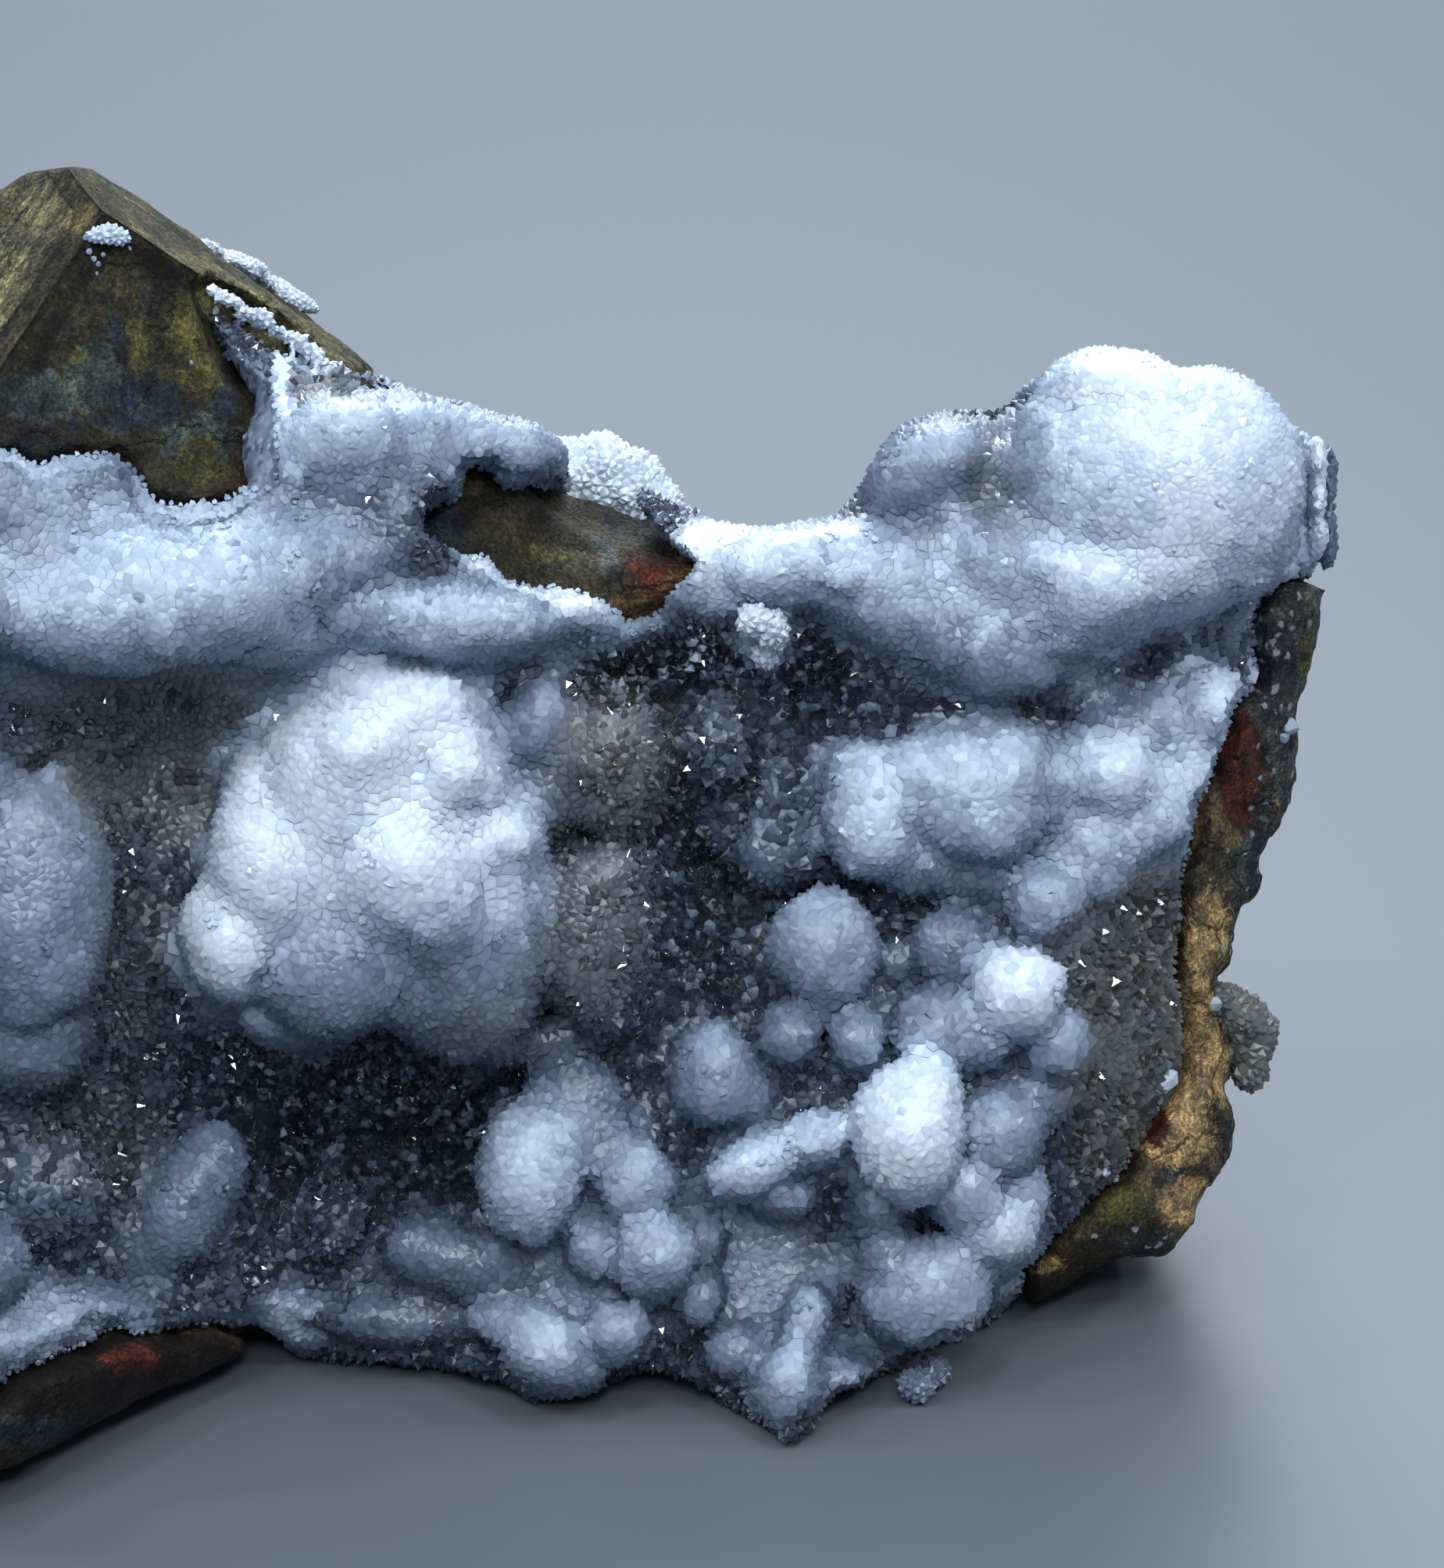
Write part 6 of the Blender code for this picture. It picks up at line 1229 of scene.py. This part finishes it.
# ---------------------------------------------------------------- build
def main():
    scene = bpy.context.scene
    cell = 0.5
    low, high = (-80.3, -23.7, -2.1), (46.0, 64.0, 86.0)
    rock_field, crust_field = banded(cell, low, high)
    rock_v, rock_f = largest(*surface(rock_field, low, cell))
    crust_v, crust_f = largest(*surface(crust_field, low, cell))
    rock_v = crisp(rock_v)
    rock = make_mesh("matrix_rock_visual", rock_v, rock_f)
    bed = make_mesh("quartz_bed", crust_v, crust_f)
    print("raw faces", len(rock_f) * 2, len(crust_f) * 2)

    # which faces of the crust are its outer skin, and which its broken rim
    centre = crust_v[crust_f].mean(axis=1)
    face_n = unit(np.cross(crust_v[crust_f[:, 2]] - crust_v[crust_f[:, 0]], crust_v[crust_f[:, 3]] - crust_v[crust_f[:, 1]]))
    x, y, z = (centre[:, i].astype(np.float32) for i in range(3))
    r_, c_, outer_, body_ = solids(x, y, z)
    u_, v_ = project(x, y, z)
    hidden = (r_ < GAP + 0.25) & (outer_ < -0.45)
    section = (u_ > 292) & (u_ < 350) & (v_ > 440) & (v_ < 625) & (outer_ < -0.2)
    skin = ~hidden & ~section & (z > 0.25)

    def spacing_of(p):
        milk, size, *_ = milkiness(p, np.tile((0.0, -1.0, 0.0), (len(p), 1)))
        return (0.50 * size * (0.70 + 0.70 * rng.random(len(p)) ** 1.3)).clip(0.33, 0.9)

    amount = 200000
    p, tri, spacing, area = scatter(crust_v, crust_f, skin, spacing_of, amount)
    flat = unit(np.cross(crust_v[tri[:, 1]] - crust_v[tri[:, 0]], crust_v[tri[:, 2]] - crust_v[tri[:, 0]]))
    h = 0.35
    grad = np.stack([solids(*[(p[:, j] + (h if j == i else 0)).astype(np.float32) for j in range(3)], fine=False)[1]
                     - solids(*[(p[:, j] - (h if j == i else 0)).astype(np.float32) for j in range(3)], fine=False)[1] for i in range(3)], 1)
    normal = unit(0.5 * flat + unit(grad))
    milk, size, height, outer, u, v, rockf = milkiness(p, normal)
    rim = ramp(0.4, 0.9, -outer)
    bright_rim = rim * rim_brightness(u, v)
    milk = milk * (1 - bright_rim) + 0.80 * bright_rim
    print("points", len(p), "skin area", round(float(area)))
    n = len(p)
    soft = ramp(0.28, 0.55, milk)
    tall = np.where(rng.random(n) < 0.16, 1.7, 1.0) * (0.6 + 0.7 * rng.random(n))
    rise = spacing * tall * (0.50 - 0.18 * soft)
    lean = spacing * 0.30 * rng.random(n)
    sink = np.full(n, 0.12)
    verts, tris, vert_owner, tri_owner, left_over, level = tiled(crust_v, crust_f[skin], p, normal, rise, sink, lean)
    print("tiled", len(tris), "left over", len(left_over))
    # points that stand out of the others, and those along the edges
    stand = np.flatnonzero((rng.random(n) < np.where(milk < 0.5, 0.035, 0.010)) & (rim < 0.3))
    single = np.concatenate([left_over, stand])
    gverts, gfaces, per = grow(p[single], normal[single], spacing[single] * (0.38 + 0.16 * rng.random(len(single))), tilt=0.4, reach=0.72)
    mixed = milk + 0.05 * rng.normal(size=n)
    # in the dark zones some points get a lighter tone and a glossy finish: partly lighter quartz, partly painted glints
    # standing in for facets that catch the lamps
    painted_glint_points = (milk < 0.34) & (rng.random(n) < 0.42)
    glint = (milk >= 0.34) & (rng.random(n) < 0.022)
    shade = 1 + (0.03 + 0.07 * ramp(0.6, 0.3, milk)) * rng.normal(size=n)
    kinds = (("quartz_points_clear", (mixed < 0.26) & ~painted_glint_points & ~glint, 1.0, 0.03, 1.0), ("quartz_points_bright", painted_glint_points, 0.5, 0.05, 1.0), ("quartz_points_glint", glint, 0.08, 0.07, 0.8),
             ("quartz_points_grey", (mixed >= 0.26) & (mixed < 0.60) & ~painted_glint_points & ~glint, 0.25, 0.30, 0.30), ("quartz_points_milky", (mixed >= 0.60) & ~painted_glint_points & ~glint, 0.10, 0.42, 0.24))
    made = []
    round_n = unit(unit(grad) + 0.15 * flat)
    for name, chosen, transmission, roughness, facets in kinds:
        m = points_material(name, transmission, roughness)
        if name.endswith("clear"):
            colour = np.array((0.62, 0.70, 0.82)) * np.ones((n, 1)) * (0.6 + 0.8 * np.clip(mixed, 0, 0.3) / 0.3)[:, None]
        # lighter tones of the points in the dark zones: partly painted glints
        elif name.endswith("bright"):
            colour = quartz_tone(np.maximum(milk, 0.14 + 0.66 * rng.random(n) ** 2.0))
        else:
            colour = quartz_tone(milk + 0.045 * rng.normal(size=n))
        colour = np.clip(warmed(colour * shade[:, None], u, v, milk), 0.004, 0.97)
        index = np.flatnonzero(chosen)
        total = chosen[tri_owner].sum() + chosen[single].sum() * 22
        share = max(1, math.ceil(total / 175000))
        cuts = np.quantile(p[index, 0], np.linspace(0, 1, share + 1)) if share > 1 else [-1e9, 1e9]
        for s in range(share):
            part = chosen & (p[:, 0] >= (cuts[s] if s else -1e9)) & (p[:, 0] < (cuts[s + 1] if s < share - 1 else 1e9))
            used, t = pick(verts, tris, tri_owner, part)
            one = np.flatnonzero(part[single])
            pv = (one[:, None] * per + np.arange(per)).ravel()
            extra = []
            for f in gfaces:
                k = len(f) // len(single)
                sel = (one[:, None] * k + np.arange(k)).ravel()
                moved = np.searchsorted(pv, f[sel].ravel()).reshape(f[sel].shape) + len(used)
                extra.append(moved)
            allv = np.concatenate([verts[used], gverts[pv]])
            allv[:, 2] = np.maximum(allv[:, 2], 0.02)
            obj = make_mesh(name + ("_%d" % (s + 1) if share > 1 else ""), allv, [t] + extra, smooth=False)
            # points painted darker at their feet and lighter at their tips: partly the greyer thin quartz at their
            # edges, partly painted shade in the grooves between them
            foot_shade = 0.74 + 0.19 * soft[vert_owner[used]] + 0.03 * rng.normal(size=len(used))
            step = foot_shade + (1.05 - foot_shade) * level[used]
            tint(obj, np.clip(np.concatenate([colour[vert_owner[used]] * step[:, None], np.repeat(colour[single[one]], per, axis=0)]), 0.004, 0.97))
            if facets < 1:
                soften(obj, facets, np.concatenate([round_n[vert_owner[used]], np.repeat(round_n[single[one]], per, axis=0)]))
            obj.data.materials.append(m)
            made.append(obj)
            print(obj.name, part.sum(), "points", len(t) + len(one) * 22, "triangles")

    # bed: its tone follows the milkiness, painted shade included, its broken rim is white and grey
    thin(bed, 120000)
    bp, bn = points_of(bed)
    bmilk, bsize, bbody, bouter, bu, bv, brock = milkiness(bp, bn)
    x, y, z = (bp[:, i].astype(np.float32) for i in range(3))
    brim = ramp(0.4, 0.9, -bouter)
    bright = brim * rim_brightness(bu, bv)
    band = (bu > 292) & (bu < 350) & (bv > 440) & (bv < 625) & (bouter < -0.2)
    bright = np.where(band, 0, bright)
    bmilk = np.where(band, 0.47 + 0.10 * noise(x * 2.2, y * 2.2, z * 0.15, 1.0, 62), bmilk)
    bmilk = bmilk * (1 - bright) + (0.74 + 0.12 * noise(x, y, z, 0.8, 61)) * bright
    colour = warmed(quartz_tone(bmilk) * (0.55 + 0.45 * ramp(0.1, 0.5, bmilk))[:, None], bu, bv, bmilk)
    tint(bed, np.clip(colour, 0.004, 0.95))
    bed.data.materials.append(bed_material())
    sunk(bed, 0.17)
    made.append(bed)

    thin(rock, 195000)
    rock.data.shade_smooth()
    rock.data.set_sharp_from_angle(angle=math.radians(32))
    rp, rn = points_of(rock)
    tint(rock, rock_colour(rp, rn))
    cleavage(rock, rp)
    stain_edges(rock, rp, rn)
    materials = {"bed": bed.data.materials[0], "grey": bpy.data.materials["quartz_points_grey"], "milky": bpy.data.materials["quartz_points_milky"]}
    for name, (lumps, gap, milk, relief, warm) in PATCHES.items():
        patch_pieces(name, lumps, gap, milk, relief, warm, materials)
    single_crystals(rock, bed, materials)
    rock.data.materials.append(rock_material())
    for obj in made:
        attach(obj, "root")
    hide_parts("druzy_quartz_crust")
    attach(rock, "root")
    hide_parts("matrix_rock")

    # floor, light, camera
    floor = make_mesh("floor", np.array([(-4000, -4000, 0), (4000, -4000, 0), (4000, 4000, 0), (-4000, 4000, 0)], float) * 0.5, np.array([[0, 1, 2, 3]]))
    floor.location.z = -0.0001
    fm, nodes, links, shader = new_material("pale_table")
    set_inputs(shader, Roughness=0.42, Specular_IOR_Level=0.25)
    shader.inputs["Base Color"].default_value = (0.125, 0.145, 0.168, 1)
    floor.data.materials.append(fm)
    world = bpy.data.worlds.new("studio")
    scene.world = world
    world.use_nodes = True
    world.node_tree.nodes["Background"].inputs[0].default_value = (0.52, 0.62, 0.78, 1)
    world.node_tree.nodes["Background"].inputs[1].default_value = 0.30

    def area_light(name, at, towards, size, power, colour):
        data = bpy.data.lights.new(name, "AREA")
        data.shape, data.size, data.energy, data.color = "DISK", size, power, colour
        obj = bpy.data.objects.new(name, data)
        scene.collection.objects.link(obj)
        obj.location = at
        obj.rotation_euler = (Vector(towards) - Vector(at)).to_track_quat("-Z", "Y").to_euler()

    area_light("key", (-0.04, -0.46, 0.76), (0, 0, 0.04), 1.05, 3.8, (0.85, 0.935, 1.0))
    area_light("top", (0.05, 0.10, 0.80), (0, 0, 0.04), 0.40, 0.9, (0.84, 0.93, 1.0))
    area_light("backdrop", (0.0, 1.5, 1.2), (0.0, 1.2, 0.0), 1.6, 52.0, (0.84, 0.92, 1.0))
    for k, at in enumerate(((0.26, -0.36, 0.50), (-0.30, -0.30, 0.52), (0.02, -0.52, 0.36), (0.42, -0.10, 0.40), (-0.12, -0.45, 0.60), (0.16, -0.20, 0.70), (-0.45, -0.12, 0.42), (0.10, -0.62, 0.52))):
        area_light("spark_%d" % (k + 1), at, (0, 0, 0.04), 0.065, 0.50, (0.95, 0.98, 1.0))

    data = bpy.data.cameras.new("photo_camera")
    data.sensor_width = 36.0
    data.lens = FOCAL * 36.0 / 2007.0
    data.clip_start, data.clip_end = 0.01, 20.0
    camera = bpy.data.objects.new("photo_camera", data)
    scene.collection.objects.link(camera)
    camera.location = tuple(to_world(EYE))
    camera.rotation_euler = (math.pi / 2 - PITCH, 0, 0)
    scene.camera = camera
    scene.view_settings.view_transform = "Standard"


main()
